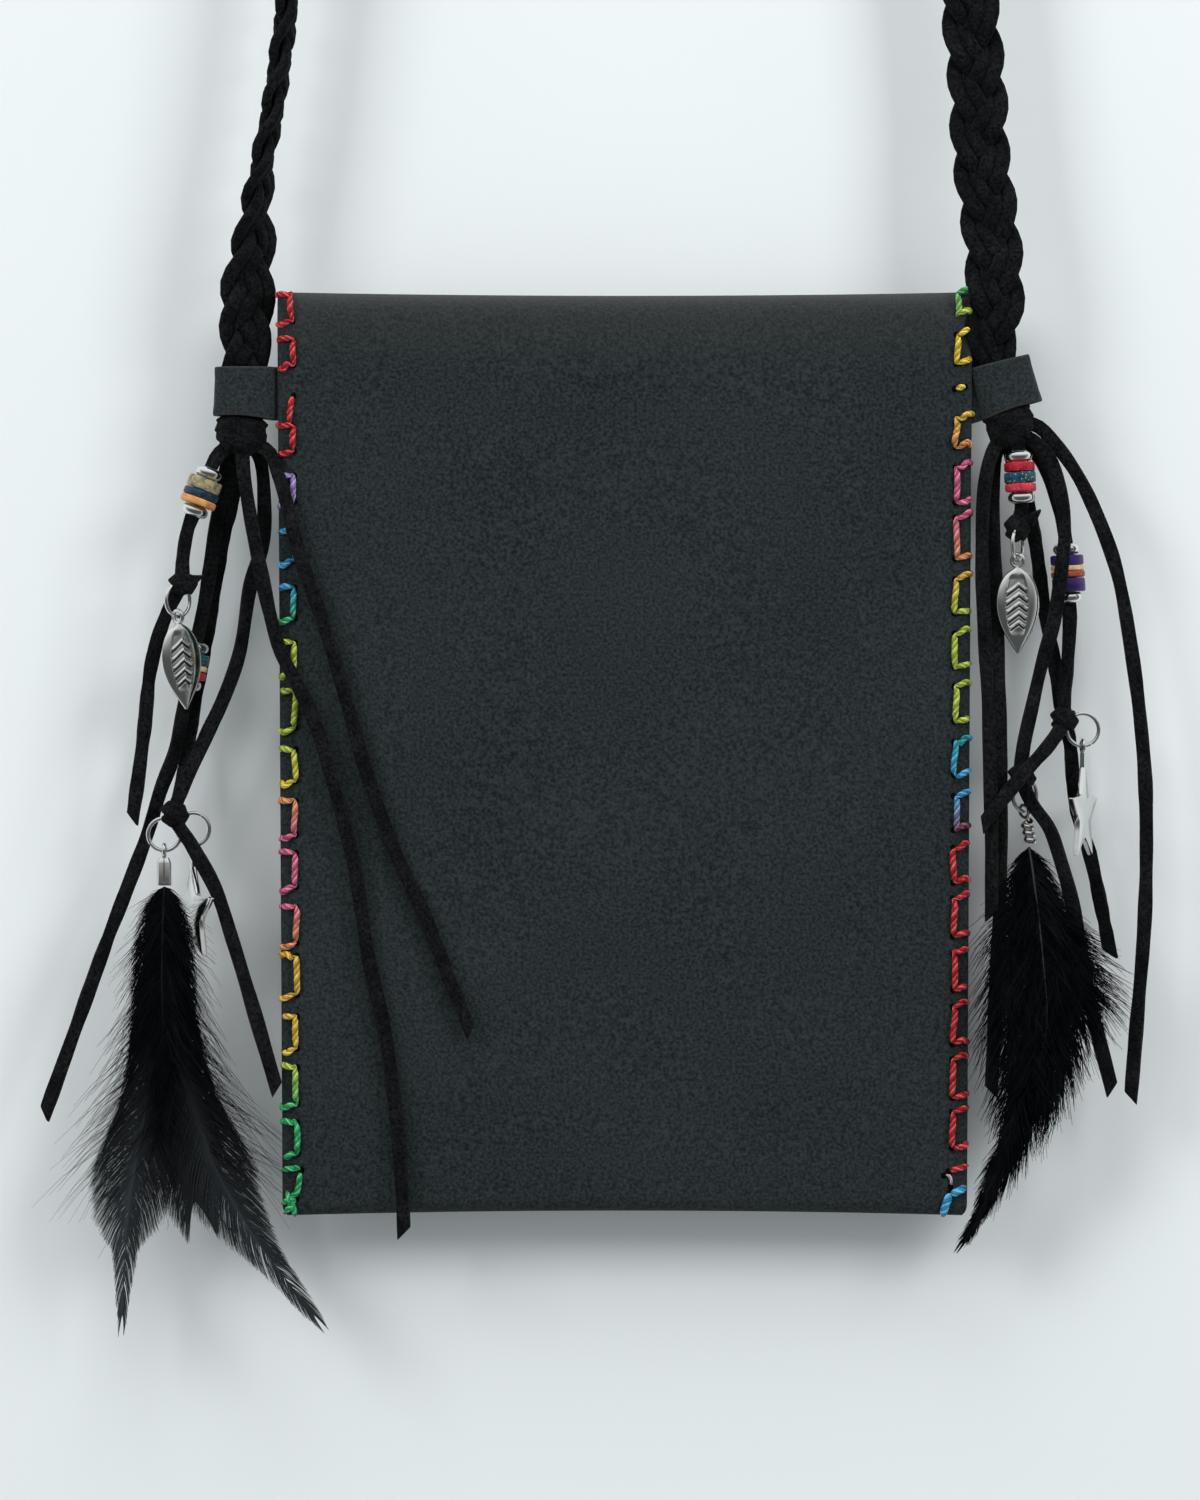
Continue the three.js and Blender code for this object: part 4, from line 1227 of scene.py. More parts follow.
LACES: dict[str, LaceSpec] = {
    "left_leaf": lace(
        (-0.0845, -0.0010, -0.0325), (-0.0884, -0.0015, -0.0354), (-0.0904, -0.0016, -0.0390),
        (-0.0919, -0.0017, -0.0430), (-0.0934, -0.0018, -0.0470), (-0.0953, -0.0017, -0.0522),
        (-0.0964, -0.0015, -0.0590), (-0.0966, -0.0013, -0.0635), (-0.0996, 0.0000, -0.0695),
        (-0.1020, 0.0004, -0.0760), (-0.1036, 0.0005, -0.0830), (-0.1048, 0.0004, -0.0950),
        (-0.1060, 0.0002, -0.1050), (-0.1074, 0.0000, -0.1150),
        knot=KnotSpec((-0.0964, -0.0013, -0.0638), (0.0031, 0.0028, 0.0026)),
        tail=((-0.0960, -0.0014, -0.0638), (-0.0946, -0.0015, -0.0635), (-0.0929, -0.0015, -0.0634)),
    ),
    "left_feather": lace(
        (-0.0850, 0.0012, -0.0320), (-0.0868, 0.0024, -0.0375), (-0.0884, 0.0038, -0.0450),
        (-0.0896, 0.0044, -0.0520), (-0.0912, 0.0047, -0.0635), (-0.0930, 0.0051, -0.0730),
        (-0.0943, 0.0052, -0.0785), (-0.0955, 0.0052, -0.0845), (-0.0966, 0.0050, -0.0910),
        (-0.0986, 0.0044, -0.1010), (-0.1014, 0.0040, -0.1085), (-0.1044, 0.0036, -0.1185),
        (-0.1096, 0.0026, -0.1325), (-0.1134, 0.0020, -0.1425), (-0.1196, 0.0010, -0.1600),
        (-0.1265, 0.0000, -0.1794),
    ),
    "left_star": lace(
        (-0.0815, 0.0006, -0.0330), (-0.0795, 0.0010, -0.0370), (-0.0787, 0.0009, -0.0460),
        (-0.0790, 0.0006, -0.0550), (-0.0816, 0.0002, -0.0637), (-0.0841, -0.0001, -0.0790),
        (-0.0876, -0.0003, -0.0890), (-0.0910, -0.0005, -0.0963), (-0.0964, -0.0006, -0.1085),
        (-0.0983, -0.0006, -0.1141), (-0.0944, -0.0021, -0.1207), (-0.0891, -0.0021, -0.1305),
        (-0.0856, -0.0022, -0.1410), (-0.0822, -0.0029, -0.1520), (-0.0757, -0.0036, -0.1740),
        knot=KnotSpec((-0.0983, -0.0002, -0.1140), (0.0032, 0.0032, 0.0030)),
    ),
    "left_back": lace(
        (-0.0836, 0.0030, -0.0325), (-0.0844, 0.0045, -0.0374), (-0.0858, 0.0060, -0.0450),
        (-0.0876, 0.0074, -0.0520), (-0.0898, 0.0088, -0.0637), (-0.0917, 0.0102, -0.0754),
        (-0.0936, 0.0106, -0.0850), (-0.0950, 0.0090, -0.0940), (-0.0959, 0.0068, -0.1015),
        (-0.0970, 0.0034, -0.1080), (-0.0983, 0.0002, -0.1140),
        far_end=FarEnd.KNOT,
    ),
    "left_face_outer": lace(
        (-0.0834, -0.0016, -0.0330), (-0.0832, -0.0028, -0.0375), (-0.0822, -0.0034, -0.0450),
        (-0.0809, -0.0038, -0.0525), (-0.0791, -0.0042, -0.0617), (-0.0773, -0.0046, -0.0700),
        (-0.0749, -0.0052, -0.0785), (-0.0714, -0.0059, -0.0854), (-0.0674, -0.0065, -0.0940),
        (-0.0630, -0.0069, -0.1085), (-0.0589, -0.0071, -0.1243), (-0.0557, -0.0072, -0.1450),
        (-0.0524, -0.0072, -0.1600), (-0.0498, -0.0072, -0.1780), (-0.0484, -0.0070, -0.1950),
        (-0.0480, -0.0070, -0.2050),
    ),
    "left_face_inner": lace(
        (-0.0810, -0.0014, -0.0330), (-0.0774, -0.0026, -0.0352), (-0.0756, -0.0042, -0.0396),
        (-0.0739, -0.0050, -0.0450), (-0.0707, -0.0058, -0.0576), (-0.0657, -0.0065, -0.0717),
        (-0.0607, -0.0069, -0.0885), (-0.0565, -0.0072, -0.1035), (-0.0507, -0.0074, -0.1202),
        (-0.0439, -0.0076, -0.1352), (-0.0372, -0.0079, -0.1520), (-0.0335, -0.0082, -0.1610),
    ),
    "right_plain_short": lace(
        (0.0822, -0.0012, -0.0315), (0.0802, -0.0022, -0.0350), (0.0786, -0.0028, -0.0410),
        (0.0779, -0.0030, -0.0500), (0.0778, -0.0031, -0.0602), (0.0784, -0.0034, -0.0750),
        (0.0791, -0.0038, -0.0902), (0.0796, -0.0042, -0.1085), (0.0798, -0.0046, -0.1220),
        (0.0798, -0.0048, -0.1360),
    ),
    "right_plain_long": lace(
        (0.0826, 0.0012, -0.0315), (0.0808, 0.0008, -0.0360), (0.0804, 0.0002, -0.0430),
        (0.0804, -0.0004, -0.0520), (0.0808, -0.0008, -0.0620), (0.0813, -0.0012, -0.0760),
        (0.0816, -0.0017, -0.0902), (0.0820, -0.0022, -0.1085), (0.0818, -0.0026, -0.1220),
        (0.0815, -0.0028, -0.1360), (0.0807, -0.0029, -0.1545), (0.0798, -0.0030, -0.1745),
    ),
    "right_leaf": lace(
        (0.0848, -0.0008, -0.0305), (0.0856, -0.0017, -0.0335), (0.0861, -0.0020, -0.0375),
        (0.0864, -0.0020, -0.0420), (0.0865, -0.0020, -0.0460), (0.0861, -0.0019, -0.0494),
        (0.0856, -0.0018, -0.0520),
        far_end=FarEnd.KNOT,
        knot=KnotSpec((0.0854, -0.0018, -0.0518), (0.0028, 0.0027, 0.0030)),
        tail=((0.0858, -0.0019, -0.0512), (0.0876, -0.0020, -0.0502), (0.0898, -0.0020, -0.0494)),
    ),
    "right_feather": lace(
        (0.0862, 0.0000, -0.0310), (0.0893, -0.0006, -0.0328), (0.0926, -0.0010, -0.0364),
        (0.0950, -0.0013, -0.0440), (0.0959, -0.0014, -0.0528), (0.0951, -0.0015, -0.0613),
        (0.0935, -0.0016, -0.0720), (0.0909, -0.0016, -0.0813), (0.0888, -0.0015, -0.0905),
        (0.0868, -0.0014, -0.1000), (0.0865, -0.0014, -0.1057), (0.0886, -0.0026, -0.1115),
        (0.0924, -0.0034, -0.1170), (0.0950, -0.0036, -0.1245), (0.0974, -0.0036, -0.1333),
        (0.1017, -0.0033, -0.1565), (0.1061, -0.0030, -0.1740),
        knot=KnotSpec((0.0865, -0.0012, -0.1059), (0.0031, 0.0030, 0.0029)),
    ),
    "right_star": lace(
        (0.0860, 0.0012, -0.0312), (0.0890, 0.0026, -0.0342), (0.0924, 0.0040, -0.0392),
        (0.0953, 0.0047, -0.0478), (0.0968, 0.0049, -0.0565), (0.0972, 0.0049, -0.0637),
        (0.0974, 0.0047, -0.0710), (0.0969, 0.0036, -0.0800), (0.0960, 0.0022, -0.0880),
        (0.0958, 0.0006, -0.0935), (0.0928, -0.0028, -0.0984), (0.0890, -0.0054, -0.1026),
        (0.0854, -0.0063, -0.1066), (0.0816, -0.0064, -0.1114), (0.0776, -0.0064, -0.1164),
        knot=KnotSpec((0.0959, 0.0012, -0.0934), (0.0031, 0.0032, 0.0029)),
        tail=(
            (0.0962, 0.0014, -0.0940), (0.0972, 0.0022, -0.0980), (0.0978, 0.0040, -0.1030),
            (0.0984, 0.0066, -0.1090), (0.0998, 0.0090, -0.1155), (0.1019, 0.0099, -0.1220),
            (0.1048, 0.0094, -0.1354), (0.1065, 0.0088, -0.1446),
        ),
    ),
    "right_back": lace(
        (0.0836, 0.0024, -0.0318), (0.0846, 0.0042, -0.0360), (0.0876, 0.0064, -0.0430),
        (0.0900, 0.0076, -0.0543), (0.0918, 0.0078, -0.0674), (0.0934, 0.0074, -0.0761),
        (0.0946, 0.0060, -0.0840), (0.0952, 0.0044, -0.0890), (0.0959, 0.0020, -0.0928),
        far_end=FarEnd.KNOT,
    ),
    "right_outer": lace(
        (0.0858, 0.0008, -0.0286), (0.0900, 0.0012, -0.0292), (0.0942, 0.0012, -0.0334),
        (0.0986, 0.0011, -0.0396), (0.1022, 0.0010, -0.0467), (0.1072, 0.0008, -0.0602),
        (0.1106, 0.0006, -0.0783), (0.1128, 0.0004, -0.0963), (0.1137, 0.0002, -0.1102),
        (0.1135, 0.0000, -0.1354), (0.1116, 0.0000, -0.1610), (0.1104, 0.0000, -0.1760),
    ),
}


@dataclass(frozen=True)
class Turn:
    """One turn of lace round a knot.

    Its slant across the view and away from the viewer are in degrees, its shift between the knot's ends
    runs from -1 to 1, and its layer is 1 on the outside of the knot and less for a turn under others.
    """

    tilt: float
    yaw: float
    shift: float
    layer: float = 1.0

    def band(self, knot: KnotSpec, width: float, thickness: float) -> Skin:
        """Winds the turn round a knot.

        Args:
            knot: The knot.
            width: Of the lace.
            thickness: Of the lace.

        Returns:
            The band as a closed ring.
        """
        steps = 40
        slant = Matrix.Rotation(math.radians(self.yaw), 3, "Z")
        slant = slant @ Matrix.Rotation(math.radians(self.tilt), 3, "Y")
        angles = np.arange(steps) * math.tau / steps
        rim = math.sqrt(1.0 - self.shift**2)
        flat = np.column_stack([np.cos(angles) * rim, np.sin(angles) * rim, np.full(steps, self.shift)])
        flat = flat @ np.array(slant).T
        inset = np.asarray(knot.radii) * self.layer - thickness / 2
        line, outward = knot.surface(flat, inset)
        along = unit(np.roll(line, -1, axis=0) - np.roll(line, 1, axis=0))
        return sweep(line, np.cross(outward, along), flat_section(width, thickness, 12, 0.35), closed=True)


def knot_core(knot: KnotSpec, share: float) -> Skin:
    """The rounded middle that shows between a knot's turns.

    Args:
        knot: The knot.
        share: The middle's reach, as a share of the knot's.

    Returns:
        The skin.
    """
    rows, sides = 9, 16
    lows = np.linspace(-math.pi / 2 + 0.2, math.pi / 2 - 0.2, rows)
    angles = math.pi - (np.arange(sides) + 0.5) * math.tau / sides
    rings = np.stack(
        [
            np.column_stack(
                [np.cos(angles) * math.cos(a), np.sin(angles) * math.cos(a), np.full(sides, math.sin(a))]
            )
            for a in lows
        ]
    )
    return tube(knot.surface(rings, np.asarray(knot.radii) * share)[0])


@dataclass
class Laces:
    """The free laces below both main knots, with the small knots tied in them."""

    suede: Material
    width: float = 3.0 * MM
    thickness: float = 1.5 * MM
    step: float = 1.6 * MM
    sway: float = 0.45  # how far a lace turns about its own line, in radians
    cut_slant: float = 0.9  # slope of the cut at a lace's free end
    free_length: float = 30 * MM  # a shorter tail is a stub
    seed: int = 7

    def strip(self, route: Sequence[Point], bare: bool, rng: np.random.Generator) -> tuple[Skin, np.ndarray]:
        """One lace as a flat strip.

        Args:
            route: Its given points.
            bare: Whether its end shows and is cut at an angle.
            rng: Source of its sway.

        Returns:
            The strip and its middle line.
        """
        line = smooth_line(route, self.step)
        along = unit(np.gradient(line, axis=0))
        flat = unit(np.cross(along, DEPTH))
        share = np.linspace(0.0, 1.0, len(line))
        waves = rng.uniform(1.2, 3.2) * math.tau * share + rng.uniform(0.0, math.tau)
        turn = (self.sway * np.sin(waves) * ease(share, 0.0, 0.15))[:, None]
        wide = flat * np.cos(turn) + np.cross(along, flat) * np.sin(turn)
        breadth = 1.0 + 0.05 * np.sin(waves * 2.3) + 0.03 * np.sin(waves * 5.1)
        slant = self.cut_slant * rng.choice([-1.0, 1.0]) if bare else 0.0
        section = flat_section(self.width, self.thickness, 12, 0.4)
        return sweep(line, wide, section, breadth, skew=(0.0, slant)), line

    def small_knot(self, spec: KnotSpec, tail: Sequence[Point], rng: np.random.Generator) -> Skin:
        """A small overhand knot, with its short stub of lace if it has one.

        Args:
            spec: The knot.
            tail: Points of the stub.
            rng: Source of its unevenness.

        Returns:
            The skin.
        """
        turns = (
            Turn(38.0 + rng.uniform(-6, 6), 12.0, 0.15),
            Turn(-36.0 + rng.uniform(-6, 6), -20.0, -0.3, 0.93),
            Turn(84.0 + rng.uniform(-6, 6), 30.0, 0.1, 0.88),
        )
        skins = [turn.band(spec, self.width, self.thickness) for turn in turns]
        skins.append(knot_core(spec, 0.7))
        if tail:
            skins.append(self.strip(tail, True, rng)[0])
        return joined(skins)

    def build(self) -> None:
        """Makes every lace and its small knot."""
        rng = np.random.default_rng(self.seed)
        for key, spec in LACES.items():
            skin, line = self.strip(spec.route, spec.far_end is FarEnd.BARE, rng)
            cord = present(f"cord_{key}", skin, self.suede, [f"lace_{key}"])
            long_tail = bool(spec.tail) and length_of(np.asarray(spec.tail)) > self.free_length
            knots = []
            if spec.knot:
                stub = () if long_tail else spec.tail
                knot = self.small_knot(spec.knot, stub, rng)
                knots = [present(f"small_knot_{key}", knot, self.suede)]
            if long_tail:
                skin, line = self.strip(spec.tail, True, rng)
                tail = present(f"cord_{key}_tail", skin, self.suede)


@dataclass
class MainKnots:
    """The knot under each tab that all the laces of a side come out of."""

    suede: Material
    width: float = 3.2 * MM
    thickness: float = 1.7 * MM
    core: float = 0.74  # the middle's reach, as a share of the knot's

    LEFT = KnotSpec((-0.0836, 0.0, -0.0313), (0.0057, 0.0050, 0.0047), 2.9, 0.16, 4.0)
    LEFT_TURNS = (
        Turn(30, 0, 0.30),
        Turn(24, 6, -0.36, 0.97),
        Turn(-46, -14, -0.45, 0.9),
        Turn(72, 24, 0.05, 0.88),
        Turn(-64, 12, 0.45, 0.92),
        Turn(-10, 0, 0.58, 0.96),
    )
    RIGHT = KnotSpec((0.0840, 0.0, -0.0294), (0.0053, 0.0049, 0.0050), 2.9, 0.22, -14.0)
    RIGHT_TURNS = (
        Turn(-34, 0, 0.28),
        Turn(-22, 8, -0.38, 0.97),
        Turn(44, -12, -0.4, 0.9),
        Turn(-70, 20, 0.0, 0.88),
        Turn(60, -10, 0.5, 0.92),
        Turn(8, 0, 0.58, 0.96),
    )

    def build(self) -> None:
        """Makes both knots."""
        knots = {"left": (self.LEFT, self.LEFT_TURNS), "right": (self.RIGHT, self.RIGHT_TURNS)}
        for side, (knot, turns) in knots.items():
            skins = [turn.band(knot, self.width, self.thickness) for turn in turns]
            whole = joined([knot_core(knot, self.core), *skins])
            present(f"main_knot_{side}", whole, self.suede, [f"knot_{side}"])


# Pouch, tabs and stitching


@dataclass
class Pouch:
    """One piece of leather: flap, top fold, near panel, bottom fold and pocket panel."""

    nubuck: Material
    top_width: float = 151.4 * MM
    bottom_width: float = 149.2 * MM
    height: float = 201.5 * MM
    leather: float = 1.6 * MM
    flap_length: float = 95 * MM
    mouth_drop: float = 14 * MM
    flap_room: float = 5.2 * MM
    flap_room_at_side: float = 2.1 * MM
    top_fold: float = 6 * MM
    top_sag: float = 0.7 * MM
    bottom_rise: float = 1.0 * MM
    bottom_room: float = 1.8 * MM
    seam_room: float = 0.25 * MM
    tab_seam_room: float = 1.7 * MM
    corner: float = 2.4 * MM
    edge_round: float = 0.45 * MM
    row_step: float = 1.2 * MM
    flap_step: float = 2.4 * MM
    column_step: float = 4.5 * MM
    side_band: float = 8.0 * MM  # along each side, columns are closer
    side_step: float = 0.8 * MM
    dent: float = 0.4 * MM  # how far thread pulls the leather in at a hole
    dent_spread: float = 1.1 * MM
    # the painted highlight along the top fold: its narrow band reaches so far down
    fold_highlight_drop: float = 4.2 * MM
    paler_drop: float = 20 * MM  # the top fold catches the light so far down

    ROOM_DROPS = (0.0, 13, 39, 60, 140, 170, 190)  # in millimetres, with half the room there
    ROOMS = (3.1, 3.4, 3.9, 4.05, 4.05, 3.6, 2.6)

    def fullness(self, across: np.ndarray) -> np.ndarray:
        """How far the pouch has filled out, from 0 at a sewn side to 1 in the middle."""
        return np.sin(np.clip((1 - np.abs(across)) / 0.42, 0, 1) * math.pi / 2)

    def half_room(self, drop: np.ndarray, fullness: np.ndarray) -> np.ndarray:
        """Half the room inside the pouch.

        Args:
            drop: Distance below the top edge.
            fullness: From the method of that name.

        Returns:
            The room, mid-pouch to one panel's inner face.
        """
        last = self.height - self.leather / 2 - self.bottom_room
        drops = [*(mark * MM for mark in self.ROOM_DROPS), last]
        rooms = [*(room * MM for room in self.ROOMS), self.bottom_room]
        room = eased_table(drop, drops, rooms)
        seam = eased_table(drop, [31 * MM, 39 * MM], [self.tab_seam_room, self.seam_room])
        return seam + (room - seam) * fullness

    def half_width(self, drop: np.ndarray) -> np.ndarray:
        """Half the pouch's width at a drop."""
        share = np.clip(drop / self.height, 0, 1)
        return (self.top_width + (self.bottom_width - self.top_width) * share) / 2

    def near_face(self, x: float, drop: float) -> float:
        """Depth of the near panel's outer face."""
        across = x / self.half_width(drop)
        return float(-(self.half_room(drop, self.fullness(across)) + self.leather))

    def stretches(self, across: float) -> list[np.ndarray]:
        """The leather's mid-wall line at one place across the pouch.

        Args:
            across: The place, from -1 at the left side to 1 at the right.

        Returns:
            Depth and height pairs of the flap, top fold, near panel, bottom fold and pocket.
        """
        half = self.leather / 2
        full = self.fullness(np.array(across))
        middle = 1 - across * across
        top, bottom = -self.top_sag * middle, -self.height + self.bottom_rise * middle
        reach = self.seam_room + (self.bottom_room - self.seam_room) * full + half
        fold_start = bottom + half + reach
        gap = self.leather + self.flap_room_at_side + (self.flap_room - self.flap_room_at_side) * full

        flap_count = int(self.flap_length / self.flap_step)
        flap_drops = np.linspace(self.flap_length, self.top_fold, flap_count, endpoint=False)
        flap = np.column_stack([self.half_room(flap_drops, full) + half + gap, top - flap_drops])

        near_edge = -(self.half_room(np.array(self.top_fold), full) + half)
        far_edge = gap - near_edge
        angles = np.linspace(0, math.pi, 18)
        top_fold = np.column_stack(
            [
                (near_edge + far_edge) / 2 + (far_edge - near_edge) / 2 * np.cos(angles),
                top - self.top_fold + (self.top_fold - half) * np.sin(angles),
            ]
        )

        count = int(self.height / self.row_step)
        heights = np.linspace(top - self.top_fold, fold_start, count)[1:-1]
        near = np.column_stack([-(self.half_room(-heights, full) + half), heights])

        turn = np.linspace(math.pi, 0, 16)
        bottom_fold = np.column_stack([reach * np.cos(turn), fold_start - reach * np.sin(turn)])

        heights = np.linspace(fold_start, top - self.mouth_drop, count)[1:]
        pocket = np.column_stack([self.half_room(-heights, full) + half, heights])
        return [flap, top_fold, near, bottom_fold, pocket]

    def columns(self) -> np.ndarray:
        """Places across the pouch, closer together along its sewn sides.

        Returns:
            The places, from -1 to 1.
        """
        side = np.arange(0.0, self.side_band, self.side_step)
        span = self.top_width - 2 * self.side_band
        middle = self.side_band + np.linspace(0.0, span, int(span / self.column_step))
        return np.concatenate([side, middle, self.top_width - side[::-1]]) * 2 / self.top_width - 1

    def ripple(self, x: np.ndarray, z: np.ndarray) -> np.ndarray:
        """Slow unevenness of soft leather.

        Args:
            x: Places across.
            z: Heights.

        Returns:
            The leather's shift in depth.
        """
        slow = 0.22 * np.sin(math.tau * (x / 0.13 + z / 0.21) + 0.6)
        cross = 0.16 * np.sin(math.tau * (x / 0.085 - z / 0.16) + 2.1)
        return (slow + cross) * MM

    def dents(self, x: np.ndarray, z: np.ndarray) -> np.ndarray:
        """How far the stitches pull the leather in round their holes.

        Args:
            x: Places across.
            z: Heights.

        Returns:
            The depth of the dents.
        """
        pulled = np.zeros_like(x)
        for side, stitches in STITCHES.items():
            for drop in (drop * MM for stitch in stitches for drop in (stitch.upper, stitch.lower)):
                hole = side.value * (self.half_width(drop) - STITCH_INSET)
                away = (x - hole) ** 2 + (z + drop) ** 2
                pulled = np.maximum(pulled, np.exp(-away / (2 * self.dent_spread**2)))
        return pulled * self.dent

    def corner_cut(self, z: np.ndarray) -> np.ndarray:
        """How far the rounded corners draw the sides in.

        Args:
            z: Heights.

        Returns:
            The cut at each height.
        """
        cut = np.zeros_like(z)
        for distance, radius in ((z + self.height, self.corner), (-z, self.corner / 2)):
            short = np.clip(radius - distance, 0, radius)
            cut += radius - np.sqrt(radius**2 - short**2)
        return cut

    def build(self) -> None:
        """Makes the pouch."""
        places = self.columns()
        profiles = [self.stretches(across) for across in places]
        unsewn = len(profiles[0][0]) + len(profiles[0][1])
        lines = np.stack([np.vstack(profile) for profile in profiles])
        along = np.gradient(lines, axis=1)
        along /= np.linalg.norm(along, axis=2, keepdims=True)
        outward = np.stack([along[..., 1], -along[..., 0]], axis=2)
        y, z = lines[..., 0], lines[..., 1]
        half = self.half_width(-z) - self.corner_cut(z)
        swell = self.ripple(places[:, None] * half, z) * self.fullness(places)[:, None]
        pulled = self.dents(places[:, None] * half, z)
        pulled[:, :unsewn] = 0.0

        def layer(inset: float, offset: float) -> np.ndarray:
            """Points of the leather, so far in from its sides and out from its middle."""
            x, out = places[:, None] * (half - inset), offset - pulled
            return np.stack([x, y + swell + outward[..., 0] * out, z + outward[..., 1] * out], axis=2)

        thick = self.leather / 2
        outer, inner = layer(self.edge_round, thick), layer(self.edge_round, -thick)
        rim_out, rim_in = layer(0.0, thick - self.edge_round), layer(0.0, self.edge_round - thick)
        ring = [rim_out[:1], outer, rim_out[-1:], rim_in[-1:], inner[::-1], rim_in[:1]]
        rings = np.concatenate(ring, axis=0).transpose(1, 0, 2)
        edge = np.zeros(rings.shape[1])
        edge[[0, len(places) + 1, len(places) + 2, -1]] = 1.0
        # painted highlight towards the top fold: a narrow band and a broad one
        rub = 0.45 * (1 - ease(-rings[..., 2], 0.5 * MM, self.fold_highlight_drop))
        rub += 0.3 * (1 - ease(-rings[..., 2], 2 * MM, self.paler_drop))
        skin = tube(rings, values={"edge": edge, "rub": rub})
        present("leather_pouch", skin, self.nubuck, ["pouch"])


@dataclass
class Tabs:
    """A strip of leather at each side, doubled round the plait and caught in the seam."""

    nubuck: Material
    height: float = 10.6 * MM
    leather: float = 1.4 * MM
    loop_reach: float = 5.4 * MM
    loop_depth: float = 3.5 * MM
    tail: float = 4.0 * MM
    waist: float = 0.35 * MM  # how much the bend draws in at mid-height
    slope: float = 1.1 * MM  # how much lower the bottom edge is at the seam
    step: float = 0.6 * MM
    flatness: float = 0.55  # 1 for a round loop, less for one that lies flat against the plait
    parting: float = 1.04  # gap between the doubled ends, against the leather's thickness

    def strip(self) -> Skin:
        """The doubled strip, its loop round the local origin and its tail towards -X.

        Returns:
            The skin.
        """
        half = self.leather / 2
        reach, depth = self.loop_reach + half, self.loop_depth + half
        apart = half * self.parting
        joint = math.asin((apart / depth) ** (1 / self.flatness))
        angles = np.linspace(math.pi + joint, 3 * math.pi - joint, 120)
        along, aside = np.cos(angles), np.sin(angles)
        loop = np.column_stack(
            [
                reach * np.sign(along) * np.abs(along) ** 0.8,
                depth * np.sign(aside) * np.abs(aside) ** self.flatness,
                np.zeros(len(angles)),
            ]
        )
        end = -(reach + half + self.tail)
        tails = [[end, -apart, 0.0]], [[end, apart, 0.0]]
        line = even_line(np.vstack([tails[0], loop, tails[1]]), self.step)
        upright = np.tile((0.0, 0.0, 1.0), (len(line), 1))
        skin = sweep(line, upright, flat_section(self.height, self.leather, 28, 0.28))
        lift = skin.points[:, 2] / (self.height / 2)
        outward = ease(skin.points[:, 0], 0.0, reach)
        skin.points[:, 0] += outward * self.waist * (lift**2 - 0.6 * lift - 0.5)
        lower = np.clip(-lift, 0.0, 1.0)
        skin.points[:, 2] -= self.slope * lower * ease(-skin.points[:, 0], -2 * MM, 9 * MM)
        return skin

    def build(self) -> None:
        """Makes both tabs."""
        places = {
            "left": ((-0.0828, 0.0, -0.0218), 0.0, math.pi),
            "right": ((0.0830, 0.0, -0.0204), 14.0, 0.0),
        }
        for side, (centre, tilt, turn) in places.items():
            place = Matrix.Translation(centre) @ Matrix.Rotation(math.radians(-tilt), 4, "Y")
            skin = self.strip().moved(place @ Matrix.Rotation(turn, 4, "Z"))
            present(f"side_tab_{side}", skin, self.nubuck, [f"tab_{side}"])


class Dye(Enum):
    """Colours of the variegated thread."""

    RED = (0.52, 0.018, 0.024)
    PINK = (0.60, 0.11, 0.22)
    LILAC = (0.36, 0.25, 0.55)
    ORANGE = (0.66, 0.26, 0.08)
    GOLD = (0.66, 0.40, 0.045)
    YELLOW = (0.70, 0.53, 0.03)
    LIME = (0.42, 0.52, 0.05)
    GREEN = (0.02, 0.40, 0.13)
    TEAL = (0.02, 0.33, 0.36)
    BLUE = (0.05, 0.36, 0.66)
    MAROON = (0.22, 0.03, 0.06)
    PALE = (0.50, 0.36, 0.44)


STITCH_INSET = 3.2 * MM  # holes from the pouch's edge


@dataclass(frozen=True)
class Stitch:
    """One U of thread: its upper and lower bars' drops in millimetres, and its dye from top to bottom."""

    upper: float
    lower: float
    start: Dye
    end: Dye


@dataclass(frozen=True)
class LooseThread:
    """A bar of thread by itself: its dye, its points' inset, drop and lift in mm, and its thickness."""

    dye: Dye
    points: tuple[Point, ...]
    body: float


def loose(dye: Dye, body: float, *points: Point) -> LooseThread:
    """A loose thread from its points."""
    return LooseThread(dye, points, body)


def stitch_row(*rows: tuple[float, float, Dye, Dye]) -> tuple[Stitch, ...]:
    """A side's stitches from short rows."""
    return tuple(Stitch(*row) for row in rows)


